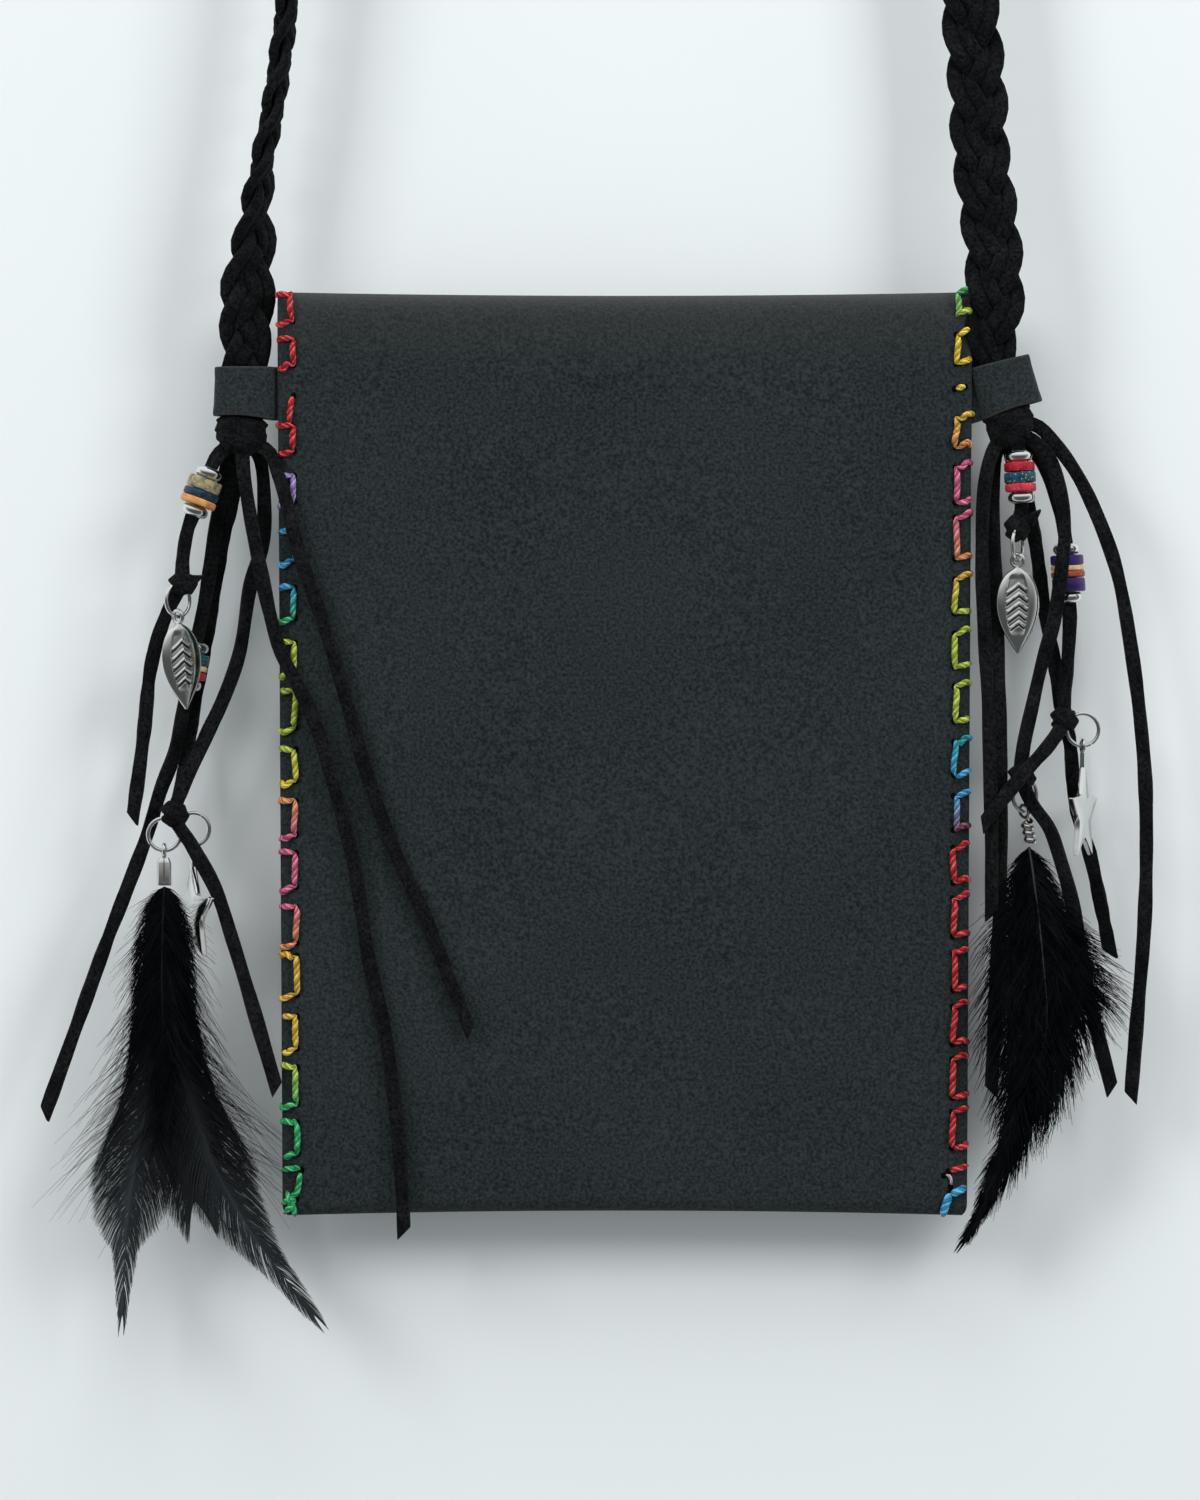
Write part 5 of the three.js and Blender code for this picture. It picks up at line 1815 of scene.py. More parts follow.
STITCHES = {
    Side.LEFT: stitch_row(
        (0.8, 6.5, Dye.RED, Dye.RED),
        (10.7, 16.2, Dye.RED, Dye.RED),
        (29.6, 34.8, Dye.RED, Dye.RED),
        (40.2, 45.9, Dye.LILAC, Dye.LILAC),
        (52.4, 58.7, Dye.BLUE, Dye.BLUE),
        (64.6, 71.3, Dye.BLUE, Dye.GREEN),
        (76.7, 83.0, Dye.LIME, Dye.LIME),
        (87.2, 95.2, Dye.LIME, Dye.LIME),
        (99.8, 106.7, Dye.LIME, Dye.YELLOW),
        (111.1, 118.5, Dye.ORANGE, Dye.PINK),
        (122.4, 129.8, Dye.PINK, Dye.PINK),
        (134.3, 142.0, Dye.PINK, Dye.ORANGE),
        (144.8, 153.3, Dye.GOLD, Dye.GOLD),
        (158.0, 165.0, Dye.GOLD, Dye.YELLOW),
        (169.1, 177.0, Dye.LIME, Dye.GREEN),
        (181.1, 188.0, Dye.GREEN, Dye.GREEN),
    ),
    Side.RIGHT: stitch_row(
        (0.6, 5.2, Dye.GREEN, Dye.LIME),
        (9.6, 15.9, Dye.YELLOW, Dye.YELLOW),
        (27.8, 34.1, Dye.GOLD, Dye.ORANGE),
        (38.5, 46.1, Dye.PINK, Dye.PINK),
        (49.3, 58.3, Dye.PINK, Dye.ORANGE),
        (62.8, 70.2, Dye.GOLD, Dye.LIME),
        (74.6, 82.0, Dye.LIME, Dye.LIME),
        (86.1, 93.7, Dye.LIME, Dye.LIME),
        (98.3, 105.4, Dye.TEAL, Dye.BLUE),
        (110.0, 117.4, Dye.BLUE, Dye.MAROON),
        (121.3, 128.9, Dye.RED, Dye.RED),
        (132.4, 140.6, Dye.RED, Dye.RED),
        (144.3, 152.2, Dye.RED, Dye.RED),
        (155.9, 164.1, Dye.RED, Dye.RED),
        (167.4, 175.7, Dye.RED, Dye.RED),
        (178.9, 186.7, Dye.RED, Dye.RED),
    ),
}
LOOSE_THREADS = {
    Side.LEFT: (
        loose(Dye.RED, 1.0, (3.3, 22.8, -0.2), (3.0, 24.2, 0.6), (2.6, 27.0, 0.6), (2.6, 29.0, 0.1)),
        loose(Dye.GREEN, 1.0, (-0.1, 191.5, -0.4), (1.4, 191.2, 0.6), (3.2, 191.1, 0.6), (4.1, 191.4, -0.2)),
        loose(Dye.GREEN, 1.0, (4.0, 191.8, -0.2), (3.8, 193.4, 0.6), (3.4, 195.6, 0.6), (2.8, 197.6, 0.1)),
        loose(Dye.GREEN, 1.0, (-0.1, 198.9, -0.4), (1.0, 198.2, 0.8), (2.2, 197.2, 0.9), (3.0, 196.5, 0.0)),
        loose(Dye.GREEN, 1.0, (1.0, 196.2, 0.0), (1.5, 197.8, 1.1), (2.3, 199.6, 0.9), (2.7, 201.6, -1.4)),
        loose(Dye.GREEN, 1.0, (0.4, 201.0, -0.2), (1.3, 200.0, 0.8), (2.2, 198.8, 1.1), (2.9, 197.8, 0.0)),
    ),
    Side.RIGHT: (
        loose(Dye.YELLOW, 1.0, (3.6, 21.4, -0.4), (2.9, 21.2, 0.5), (2.1, 21.0, 0.5), (1.3, 20.9, -0.4)),
        loose(Dye.RED, 1.0, (4.0, 191.8, -0.3), (2.8, 191.4, 0.6), (1.0, 190.9, 0.6), (-0.1, 190.6, -0.6)),
        loose(Dye.PALE, 0.55, (5.0, 192.7, -0.2), (4.2, 192.6, 0.4), (3.6, 193.4, 0.5), (3.5, 195.2, -0.1)),
        loose(Dye.BLUE, 1.25, (3.8, 196.9, -0.3), (2.7, 196.4, 0.7), (1.2, 195.7, 0.7), (0.3, 195.2, -0.6)),
        loose(Dye.BLUE, 1.3, (3.7, 196.4, -0.3), (4.3, 198.0, 0.7), (4.9, 199.6, 0.7), (5.2, 201.6, -1.4)),
    ),
}


@dataclass
class Stitching:
    """Thread of five plies sewn in square stitches along both sides."""

    pouch: Pouch
    finishes: Finishes
    plies: int = 5
    ply: float = 0.52 * MM  # diameter
    ply_sides: int = 5
    twist_radius: float = 0.45 * MM
    twist_pitch: float = 3.6 * MM
    spacing: float = 0.36 * MM
    lift: float = 0.6 * MM
    squeezed: float = 0.5  # the thread's thickness where it enters a hole
    hole_radius: float = 0.62 * MM
    hole_clear: float = 2.0 * MM  # a bar nearer a fold than this goes over it
    jitter: float = 0.2 * MM
    seed: int = 11
    tab_span: tuple[float, float] = (16.0 * MM, 27.5 * MM)

    SLANTS = {Side.LEFT: (-0.1 * MM, 0.8 * MM), Side.RIGHT: (-0.9 * MM, -0.7 * MM)}

    def on_face(self, side: Side, inset: float, drop: float, lift: float) -> Point:
        """A point over the near panel, so far in from its edge and out from its face."""
        x = side.value * (float(self.pouch.half_width(drop)) - inset)
        return (x, self.pouch.near_face(x, drop) - lift, -drop)

    def wrap(self, side: Side, drop: float, slant: float) -> list[Point]:
        """A bar from the near hole out to the edge and round to the pocket side's hole.

        Args:
            side: Side of the bag.
            drop: Of the hole.
            slant: How much lower the bar is at the edge.

        Returns:
            The bar's points.
        """
        low = drop + slant
        out = [
            self.on_face(side, STITCH_INSET - 0.9 * MM, drop + slant * 0.2, self.lift),
            self.on_face(side, 0.95 * MM, low, self.lift),
            self.on_face(side, 0.4 * MM, low, -0.5 * MM),
        ]
        if self.tab_span[0] < drop < self.tab_span[1]:
            return out
        doubled = drop > self.pouch.mouth_drop
        back = []
        for x, y, z in reversed(out):
            face = y + self.lift
            back.append((x, -y if doubled else face + self.pouch.leather + self.lift, z))
        x, y, z = self.on_face(side, STITCH_INSET, drop, -0.3 * MM)
        return [*out, *back, (x, -y if doubled else y + self.pouch.leather, z)]

    def route(self, side: Side, stitch: Stitch) -> list[Point]:
        """Points of one U, from the pocket side round to the near side and back.

        Args:
            side: Side of the bag.
            stitch: The stitch.

        Returns:
            The points.
        """
        upper, lower = stitch.upper * MM, stitch.lower * MM
        bar = [
            self.on_face(side, STITCH_INSET, upper, -0.15 * MM),
            self.on_face(side, STITCH_INSET, upper + 1.1 * MM, self.lift),
            self.on_face(side, STITCH_INSET, lower - 1.1 * MM, self.lift),
            self.on_face(side, STITCH_INSET, lower, -0.15 * MM),
        ]
        above, below = self.SLANTS[side]
        return [*reversed(self.wrap(side, upper, above)), *bar, *self.wrap(side, lower, below)]

    def recipe(self) -> Recipe:
        """The tree that twists plies round each line of thread.

        Returns:
            The recipe.
        """
        recipe = Recipe(
            "twisted_thread",
            {
                "Spacing": self.spacing,
                "Ply": self.ply,
                "Twist Radius": self.twist_radius,
                "Twist Pitch": self.twist_pitch,
                "Plies": self.plies,
            },
        )
        count = recipe.size("Plies")
        plies, index = recipe.copies(recipe.lines(recipe.size("Spacing")), count)
        turns = recipe.plus(
            recipe.over(recipe.along("Length"), recipe.size("Twist Pitch")), recipe.over(index, count)
        )
        angle = recipe.times(turns, math.tau)
        normal = recipe.add("GeometryNodeInputNormal").outputs[0]
        beside = recipe.vector("CROSS_PRODUCT", recipe.tangent(), normal)
        body = recipe.stored("body")
        spread = recipe.times(body, recipe.size("Twist Radius"))
        moved = recipe.moved(plies, recipe.scaled(recipe.turned(normal, beside, angle), spread))
        # each ply's rank, which the thread's finish paints from shade to highlight
        shuffled = recipe.number("MODULO", recipe.times(index, 2.0), count)
        counted = recipe.marked(moved, "ply", recipe.over(shuffled, count))
        section = recipe.round_section(self.ply_sides, recipe.size("Ply"))
        recipe.close(recipe.skinned(counted, section, body), self.finishes.thread)
        return recipe

    def hole_shade_recipe(self) -> Recipe:
        """The tree that sets a dark plug of painted shade in each stitch hole.

        Returns:
            The recipe.
        """
        recipe = Recipe("stitch_holes", {"Radius": self.hole_radius})
        plug = recipe.add(
            "GeometryNodeMeshUVSphere", {"Segments": 10, "Rings": 6, "Radius": recipe.size("Radius")}
        )
        flat = recipe.add("GeometryNodeTransform", {"Geometry": plug.outputs[0], "Scale": (1.0, 0.5, 1.15)})
        plugs = recipe.add(
            "GeometryNodeInstanceOnPoints", {"Points": recipe.source, "Instance": flat.outputs[0]}
        )
        recipe.close(plugs.outputs[0], self.finishes.hole)
        return recipe

    def holes(self, side: Side) -> list[Point]:
        """Every hole of a side, through the near panel and, below the mouth, through the pocket too.

        Args:
            side: Side of the bag.

        Returns:
            The holes' places.
        """
        places = []
        sink = self.pouch.dent - 0.12 * MM
        for stitch in STITCHES[side]:
            for drop in (stitch.upper * MM, stitch.lower * MM):
                if drop < self.hole_clear:
                    continue
                x, y, z = self.on_face(side, STITCH_INSET + 0.3 * MM, drop, -sink)
                places.append((x, y, z))
                if drop > self.pouch.mouth_drop:
                    places.append((x, -y, z))
        for thread in LOOSE_THREADS[side]:
            for inset, drop, _ in (thread.points[0], thread.points[-1]):
                if inset > 1.0 and drop * MM < self.pouch.height - self.hole_clear:
                    places.append(self.on_face(side, (inset + 0.2) * MM, drop * MM, 0.1 * MM))
        return places

    def body(self, line: np.ndarray, pinches: Sequence[Point]) -> np.ndarray:
        """The thread's thickness along a line, less where it is pinched."""
        away = np.min([np.linalg.norm(line - np.array(pinch), axis=1) for pinch in pinches], axis=0)
        return self.squeezed + (1 - self.squeezed) * ease(away, 0.2 * MM, 1.5 * MM)

    def build(self) -> None:
        """Makes the thread of both sides, and dark plugs of painted shade in their holes."""
        rng = np.random.default_rng(self.seed)
        thread, holes = self.recipe(), self.hole_shade_recipe()
        for side, stitches in STITCHES.items():
            lines, dyes, bodies = [], [], []
            for stitch in stitches:
                points = np.array(self.route(side, stitch))
                points += rng.normal(0.0, self.jitter, points.shape) * (1.0, 0.2, 1.0)
                line = smooth_line(points.tolist(), self.spacing)
                share = ease(np.linspace(0.0, 1.0, len(line)), 0.25, 0.75)[:, None]
                start, end = np.array((*stitch.start.value, 1.0)), np.array((*stitch.end.value, 1.0))
                drops = (stitch.upper * MM, stitch.lower * MM)
                corners = [self.on_face(side, STITCH_INSET, drop, 0.0) for drop in drops]
                lines.append(line)
                dyes.append(start + (end - start) * share)
                bodies.append(self.body(line, corners))
            for single in LOOSE_THREADS[side]:
                points = [self.on_face(side, *(np.array(point) * MM)) for point in single.points]
                line = smooth_line(points, self.spacing)
                lines.append(line)
                dyes.append(np.tile((*single.dye.value, 1.0), (len(line), 1)))
                bodies.append(self.body(line, [points[0], points[-1]]) * single.body)
            label = side.name.lower()
            values = {"dye": np.vstack(dyes), "body": np.concatenate(bodies)}
            name = f"stitches_{label}"
            sewn = thread.run(name, line_mesh(f"thread_{label}", lines, values))
            present(name, sewn, self.finishes.thread)
            # dark plugs of painted shade in the stitch holes
            name = f"stitch_holes_{label}"
            places = [np.array([place]) for place in self.holes(side)]
            shaded_holes = holes.run(name, line_mesh(f"holes_{label}", places, {}))
            present(name, shaded_holes, self.finishes.hole)


# Strap


@dataclass
class Strap:
    """A flat plait of three bundles, each of two laces, from one main knot over the arch to the other."""

    suede: Material
    period: float = 32.6 * MM  # along the plait, for one bundle to come back to its side
    weave_width: float = 3.35 * MM  # how far a bundle's middle swings to each side
    weave_depth: float = -1.5 * MM  # how far it dives at a crossing; its sign sets which way the Vs point
    lace_width: float = 3.3 * MM
    lace_thickness: float = 2.2 * MM
    lace_rounding: float = 1.05 * MM
    spread: float = 1.6 * MM  # a lace's middle from its bundle's middle
    in_tab: float = 0.80  # the plait's breadth where a tab holds it
    arch_radius: float = 26.5 * MM
    arch_drop: float = 23.5 * MM  # the arch's centre below the hang point
    step: float = 1.9 * MM

    LEFT_LEG = (
        (-0.0829, 0.0, -0.0266), (-0.0828, 0.0, -0.0150), (-0.0824, 0.0, -0.0070), (-0.0822, 0.0, 0.0020),
        (-0.0811, 0.0, 0.0090), (-0.0806, 0.0, 0.0160), (-0.0789, 0.0, 0.0290), (-0.0761, 0.0, 0.0440),
    )
    RIGHT_LEG = (
        (0.0770, 0.0, 0.0440), (0.0774, -0.0008, 0.0320), (0.0789, -0.0019, 0.0200),
        (0.0803, -0.0028, 0.0080), (0.0806, -0.0029, -0.0030), (0.0798, -0.0024, -0.0100),
        (0.0803, -0.0012, -0.0160), (0.0823, -0.0002, -0.0206), (0.0840, 0.0, -0.0252),
    )
    LEFT_TURN = (-0.022, 0.034)  # heights between which the left leg turns edge-on
    RIGHT_TURN = (0.070, 0.210)

    def route(self) -> np.ndarray:
        """The plait's middle line.

        Returns:
            Even points of the line.
        """
        top = -BAG_TOP[2] - self.arch_drop
        angles = np.radians([180, 150, 120, 90, 60, 30, 0])
        arch = [(math.cos(a) * self.arch_radius, 0.0, top + math.sin(a) * self.arch_radius) for a in angles]
        return smooth_line([*self.LEFT_LEG, *arch, *self.RIGHT_LEG], self.step)

    def recipe(self) -> Recipe:
        """The tree that plaits laces along a line.

        Returns:
            The recipe.
        """
        recipe = Recipe(
            "plait",
            {
                "Period": self.period,
                "Weave Width": self.weave_width,
                "Weave Depth": self.weave_depth,
                "Lace Width": self.lace_width,
                "Lace Thickness": self.lace_thickness,
                "Lace Rounding": self.lace_rounding,
                "Spread": self.spread,
                "Bundles": 3,
                "Laces": 6,
            },
        )
        period, swing_width = recipe.size("Period"), recipe.size("Weave Width")
        laces, index = recipe.copies(recipe.lines(), recipe.size("Laces"))
        bundle = recipe.number("FLOOR", recipe.over(index, 2.0))
        phase = recipe.plus(
            recipe.over(recipe.along("Length"), period), recipe.over(bundle, recipe.size("Bundles"))
        )
        angle = recipe.times(phase, math.tau)
        breadth = recipe.stored("breadth")
        widthways = recipe.stored("widthways", "FLOAT_VECTOR")
        tangent = recipe.tangent()
        thickways = recipe.vector("CROSS_PRODUCT", tangent, widthways)
        swing = recipe.times(recipe.number("SINE", angle), swing_width)
        dive = recipe.times(recipe.number("SINE", recipe.times(angle, 2.0)), recipe.size("Weave Depth"))
        steepness = recipe.over(recipe.times(swing_width, math.tau), period)
        lean = recipe.number("ARCTANGENT", recipe.times(recipe.number("COSINE", angle), steepness))
        flat = recipe.turned(widthways, tangent, recipe.times(lean, -1.0))
        kept = recipe.marked(laces, "flat", flat, "FLOAT_VECTOR")
        aside = recipe.scaled(flat, recipe.times(recipe.hand(index), recipe.size("Spread")))
        weave = recipe.vector("ADD", recipe.scaled(widthways, swing), recipe.scaled(thickways, dive))
        weave = recipe.vector("ADD", weave, aside)
        moved = recipe.moved(kept, recipe.scaled(weave, breadth))
        now = recipe.tangent()
        square = recipe.vector("CROSS_PRODUCT", now, recipe.stored("flat", "FLOAT_VECTOR"))
        square = recipe.vector("NORMALIZE", recipe.vector("CROSS_PRODUCT", square, now))
        faced = recipe.add("GeometryNodeSetCurveNormal", {"Curve": moved, "Normal": square}, mode="FREE")
        section = recipe.band_section(
            recipe.size("Lace Width"), recipe.size("Lace Thickness"), recipe.size("Lace Rounding")
        )
        recipe.close(recipe.skinned(faced.outputs[0], section, breadth), self.suede)
        return recipe

    def build(self) -> None:
        """Makes the plaited strap."""
        line = self.route()
        along = unit(np.gradient(line, axis=0))
        in_plane = unit(np.cross(along, DEPTH))
        half = np.arange(len(line)) < len(line) / 2
        turn = np.where(half, ease(line[:, 2], *self.LEFT_TURN), ease(line[:, 2], *self.RIGHT_TURN))
        turn = (turn * math.pi / 2)[:, None]
        widthways = in_plane * np.cos(turn) + np.cross(along, in_plane) * np.sin(turn)
        breadth = self.in_tab + (1 - self.in_tab) * ease(line[:, 2], -16 * MM, -4 * MM)
        source = line_mesh("plait_line", [line], {"widthways": widthways, "breadth": breadth})
        mesh = self.recipe().run("plaited_strap", source)
        present("plaited_strap", mesh, self.suede, ["strap"])


# Beads, rings, charms and clamps


@dataclass(frozen=True)
class BeadSpec:
    """One bead: its record slot, its length along the lace and its radius."""

    slot: str
    length: float
    radius: float


SILVER_BEAD = BeadSpec("silver", 2.4 * MM, 3.0 * MM)


def bead_stack(start: float, *discs: tuple[str, float, float]) -> tuple[float, tuple[BeadSpec, ...]]:
    """Discs between two silver beads.

    Args:
        start: Millimetres from the lace's upper end.
        discs: Each disc's slot, length and radius, in millimetres.

    Returns:
        The start and the beads, in metres.
    """
    coloured = (BeadSpec(slot, length * MM, radius * MM) for slot, length, radius in discs)
    return start * MM, (SILVER_BEAD, *coloured, SILVER_BEAD)


BEAD_STACKS = {
    "left_leaf": bead_stack(8.6, ("sand", 2.6, 3.85), ("navy", 1.7, 3.85), ("orange", 1.6, 3.95)),
    "left_feather": bead_stack(45.6, ("teal", 2.4, 3.6), ("cream", 1.2, 3.6), ("red", 1.8, 3.6)),
    "right_leaf": bead_stack(4.6, ("red", 2.0, 3.4), ("teal", 2.4, 3.4), ("pink", 1.8, 3.4)),
    "right_star": bead_stack(
        27.0, ("violet", 2.2, 3.65), ("cream", 1.1, 3.65), ("rust", 1.4, 3.65), ("violet", 3.0, 3.65)
    ),
}


@dataclass
class Beads:
    """Silver rounds and coloured discs threaded on four of the laces."""

    finishes: Finishes
    bore: float = 2.1 * MM
    gap: float = 0.1 * MM
    segments: int = 40
    fine_step: float = 0.2 * MM
    seed: int = 5

    def bead(self, spec: BeadSpec, rng: np.random.Generator) -> Skin:
        """One drilled bead round the Z axis.

        Args:
            spec: The bead.
            rng: Source of its unevenness.

        Returns:
            The skin.
        """
        half = spec.length / 2
        corner = half * 0.98 if spec.slot == "silver" else min(half * 0.55, 0.45 * MM)
        turns = np.linspace(-math.pi / 2, math.pi / 2, 9)
        profile = []
        for turn in turns:
            lift = math.copysign(half - corner, turn) if turn else 0.0
            profile.append((spec.radius - corner + corner * math.cos(turn), lift + corner * math.sin(turn)))
        back = [(self.bore, height) for _, height in reversed(profile)]
        skin = turned_profile([*profile, *back], self.segments)
        if spec.slot != "silver":
            angle = np.arctan2(skin.points[:, 1], skin.points[:, 0])
            waves = rng.uniform(0, math.tau, 3)
            wobble = sum(0.012 * np.sin((k + 2) * angle + w) for k, w in enumerate(waves))
            outer = np.hypot(skin.points[:, 0], skin.points[:, 1]) > self.bore * 1.05
            skin.points[:, :2] *= (1 + wobble * outer)[:, None]
            skin.points[:, 2] += 0.03 * spec.radius * np.sin(angle + waves[0]) * 0.5
        return skin

    def build(self) -> None:
        """Makes all the stacks."""
        rng = np.random.default_rng(self.seed)
        for key, (start, beads) in BEAD_STACKS.items():
            line = smooth_line(LACES[key].route, self.fine_step)
            along = np.linspace(0.0, length_of(line), len(line))
            stack = sum(bead.length + self.gap for bead in beads)

            def at(distance: float) -> np.ndarray:
                """Point of the lace at a distance from its start."""
                return np.array([np.interp(distance, along, line[:, axis]) for axis in range(3)])

            top = at(start)
            down = unit(at(start + stack) - top)
            turn = Vector((0, 0, 1)).rotation_difference(Vector(-down)).to_matrix().to_4x4()
            reached = 0.0
            for number, bead in enumerate(beads, 1):
                middle = top + down * (reached + bead.length / 2)
                skin = self.bead(bead, rng).moved(Matrix.Translation(middle) @ turn)
                finish = self.finishes.discs.get(bead.slot, self.finishes.silver)
                present(f"threaded_{key}_{number}", skin, finish, [f"bead_{key}_{number}"])
                reached += bead.length + self.gap


@dataclass(frozen=True)
class RingSpec:
    """A jump ring's middle, its turn out of the picture plane and where its split is."""

    centre: Point
    turn: float
    split: float


RING_RADIUS = 3.55 * MM  # of the wire's middle line
RINGS = {
    "left_leaf": RingSpec((-0.0974, -0.0020, -0.0674), 48, 80),
    "left_feather": RingSpec((-0.1004, -0.0010, -0.1184), 0, 215),
    "left_star": RingSpec((-0.0942, 0.0009, -0.1173), 0, 60),
    "right_leaf": RingSpec((0.0856, -0.0024, -0.0552), 68, 140),
    "right_feather": RingSpec((0.0872, -0.0004, -0.1098), 40, 40),
    "right_star": RingSpec((0.1000, 0.0010, -0.0956), 8, 300),
}


@dataclass
class Rings:
    """Split rings of silver wire that carry the charms and feathers."""

    silver: Material
    wire: float = 0.45 * MM
    opening: float = 0.05

    def build(self) -> None:
        """Makes the six rings."""
        for label, spec in RINGS.items():
            ring = wire_ring(RING_RADIUS, self.wire, self.opening, math.radians(spec.split))
            turn = Matrix.Rotation(math.radians(spec.turn), 4, "Z")
            skin = ring.moved(Matrix.Translation(spec.centre) @ turn)
            present(f"jump_ring_{label}", skin, self.silver, [f"ring_{label}"])


class PendantKind(Enum):
    """What hangs from a jump ring."""

    LEAF = "leaf"
    STAR = "star"
    FOLDED_CLAMP = "folded clamp"
    COILED_CLAMP = "coiled clamp"


@dataclass(frozen=True)
class PendantSpec:
    """A charm or clamp: its ring, its kind, and how it is turned and leans, in degrees."""

    node: str
    ring: str
    kind: PendantKind
    turn: float
    lean: float = 0.0


PENDANTS = (
    PendantSpec("leaf_left", "left_leaf", PendantKind.LEAF, 32, -6),
    PendantSpec("leaf_right", "right_leaf", PendantKind.LEAF, 12),
    PendantSpec("star_left", "left_star", PendantKind.STAR, -64),
    PendantSpec("star_right", "right_star", PendantKind.STAR, 72),
    PendantSpec("clamp_left", "left_feather", PendantKind.FOLDED_CLAMP, 0),
    PendantSpec("clamp_right", "right_feather", PendantKind.COILED_CLAMP, 0, -11),
)


@dataclass
class Pendants:
    """Leaf and star charms and the clamps that hold the feathers, each hanging by an eye."""

    silver: Material
    eye_radius: float = 1.35 * MM
    eye_wire: float = 0.45 * MM
    leaf_field: tuple[float, float] = (0.66, 0.46)  # the sunk field's reach to each side, of the leaf's
    leaf_relief: float = 0.34 * MM
    chevrons: int = 5
    chevron_start: float = 4.6 * MM
    chevron_pitch: float = 2.05 * MM
    chevron_slope: float = 0.75
    star_radius: float = 11.8 * MM
    star_waist: float = 0.42
    star_drop: float = 14.8 * MM
    star_thickness: float = 1.3 * MM
    star_neck: tuple[float, float] = (-1.5 * MM, -4.6 * MM)  # from the eye into the top arm
    clamp_width: float = 3.0 * MM
    clamp_depth: float = 2.4 * MM
    clamp_top: float = 1.5 * MM
    clamp_bottom: float = 7.6 * MM
    plate: float = 0.45 * MM

    LEAF_DROPS = (1.4, 3.2, 6.5, 10.5, 14.5, 18.0, 20.2)
    LEAF_HALVES = (0.6, 2.9, 4.5, 4.8, 3.7, 1.7, 0.25)
    LEAF_RIDGES = (0.5, 0.9, 1.2, 1.3, 1.1, 0.8, 0.4)

    def leaf(self) -> Skin:
        """A domed leaf with a smooth rim round a sunk field, and chevrons standing in the field.

        Returns:
            The skin.
        """
        rows, columns = 130, 45
        drops = np.linspace(self.LEAF_DROPS[0], self.LEAF_DROPS[-1], rows)
        outline = smooth_line(list(zip(self.LEAF_HALVES, self.LEAF_RIDGES, self.LEAF_DROPS)), 0.1)
        order = np.argsort(outline[:, 2])
        half = np.interp(drops, outline[order, 2], outline[order, 0])[:, None] * MM
        ridge = np.interp(drops, outline[order, 2], outline[order, 1])[:, None] * MM
        across = np.linspace(-1, 1, columns)
        drop = drops[:, None] * MM
        offset = np.abs(across) * half
        roof = ridge * (1 - np.abs(across) ** 2.6) ** 0.7
        field_half = np.where(across < 0, *self.leaf_field) * half
        inside = ease(field_half - offset, 0.0, 0.5 * MM) * ease(drop, 2.6 * MM, 4.2 * MM)
        inside = inside * ease(-drop, -16.6 * MM, -15.0 * MM)
        keel = 0.22 * MM * (1 - offset / np.maximum(field_half, 1e-6)).clip(0, 1)
        count = (drop - self.chevron_slope * offset - self.chevron_start) / self.chevron_pitch
        step = count - np.floor(count)
        within = inside * ease(field_half - offset, 0.2 * MM, 0.5 * MM)
        within = within * (count > 0) * (count < self.chevrons)
        bar = within * ease(0.17 - np.abs(step - 0.22), 0.0, 0.12)
        groove = within * ease(0.2 - np.abs(step - 0.56), 0.0, 0.12)
        height = roof - inside * (self.leaf_relief - keel) + bar * 0.24 * MM - groove * 0.16 * MM
        spread = drop.shape[0], columns
        front = np.stack([across * half, -height, np.broadcast_to(-drop, spread)], axis=2)
        back = front.copy()
        back[..., 1] = 0.4 * MM * (1 - across**2) + 0.05 * MM
        rings = np.concatenate([front, back[:, ::-1]], axis=1)
        shade = np.maximum(groove, 0.3 * inside * (1 - bar))
        return tube(rings, values={"tarnish": np.concatenate([shade, np.zeros(spread)], axis=1)})

    def star(self) -> Skin:
        """A flat five-pointed star with softened tips and edges.

        Returns:
            The skin.
        """
        corners = np.arange(10)
        radii = np.where(corners % 2, self.star_waist, 1.0) * self.star_radius
        angles = math.pi / 2 + corners * math.pi / 5
        outline = np.column_stack([np.cos(angles) * radii, np.sin(angles) * radii])
        for share in (0.08, 0.25):
            after, before = np.roll(outline, -1, axis=0), np.roll(outline, 1, axis=0)
            cut = [outline + (before - outline) * share, outline + (after - outline) * share]
            outline = np.stack(cut, axis=1).reshape(-1, 2)
        half = self.star_thickness / 2
        bevel = ((0.93, 1.0), (0.975, 0.85), (1.0, 0.4))
        layers = [(scale, -half * depth) for scale, depth in bevel]
        layers += [(scale, half * depth) for scale, depth in reversed(bevel)]
        count = len(outline)
        points, faces = [], []
        for scale, depth in layers:
            points += [(x * scale, depth, z * scale - self.star_drop) for x, z in outline]
        points += [(0.0, -half, -self.star_drop), (0.0, half, -self.star_drop)]
        last = (len(layers) - 1) * count
        for corner in range(count):
            beside = (corner + 1) % count
            for start in range(0, last, count):
                low, high = start, start + count
                faces.append((low + corner, low + beside, high + beside, high + corner))
            faces.append((corner, beside, last + count))
            faces.append((last + beside, last + corner, last + count + 1))
        plate = Skin(np.array(points), faces, np.zeros((len(points), 2)))
        line = np.column_stack([np.zeros((4, 2)), np.linspace(*self.star_neck, 4)])
        neck = sweep(line, np.tile((1.0, 0.0, 0.0), (4, 1)), flat_section(1.3 * MM, 1.1 * MM))
        return joined([plate, neck])

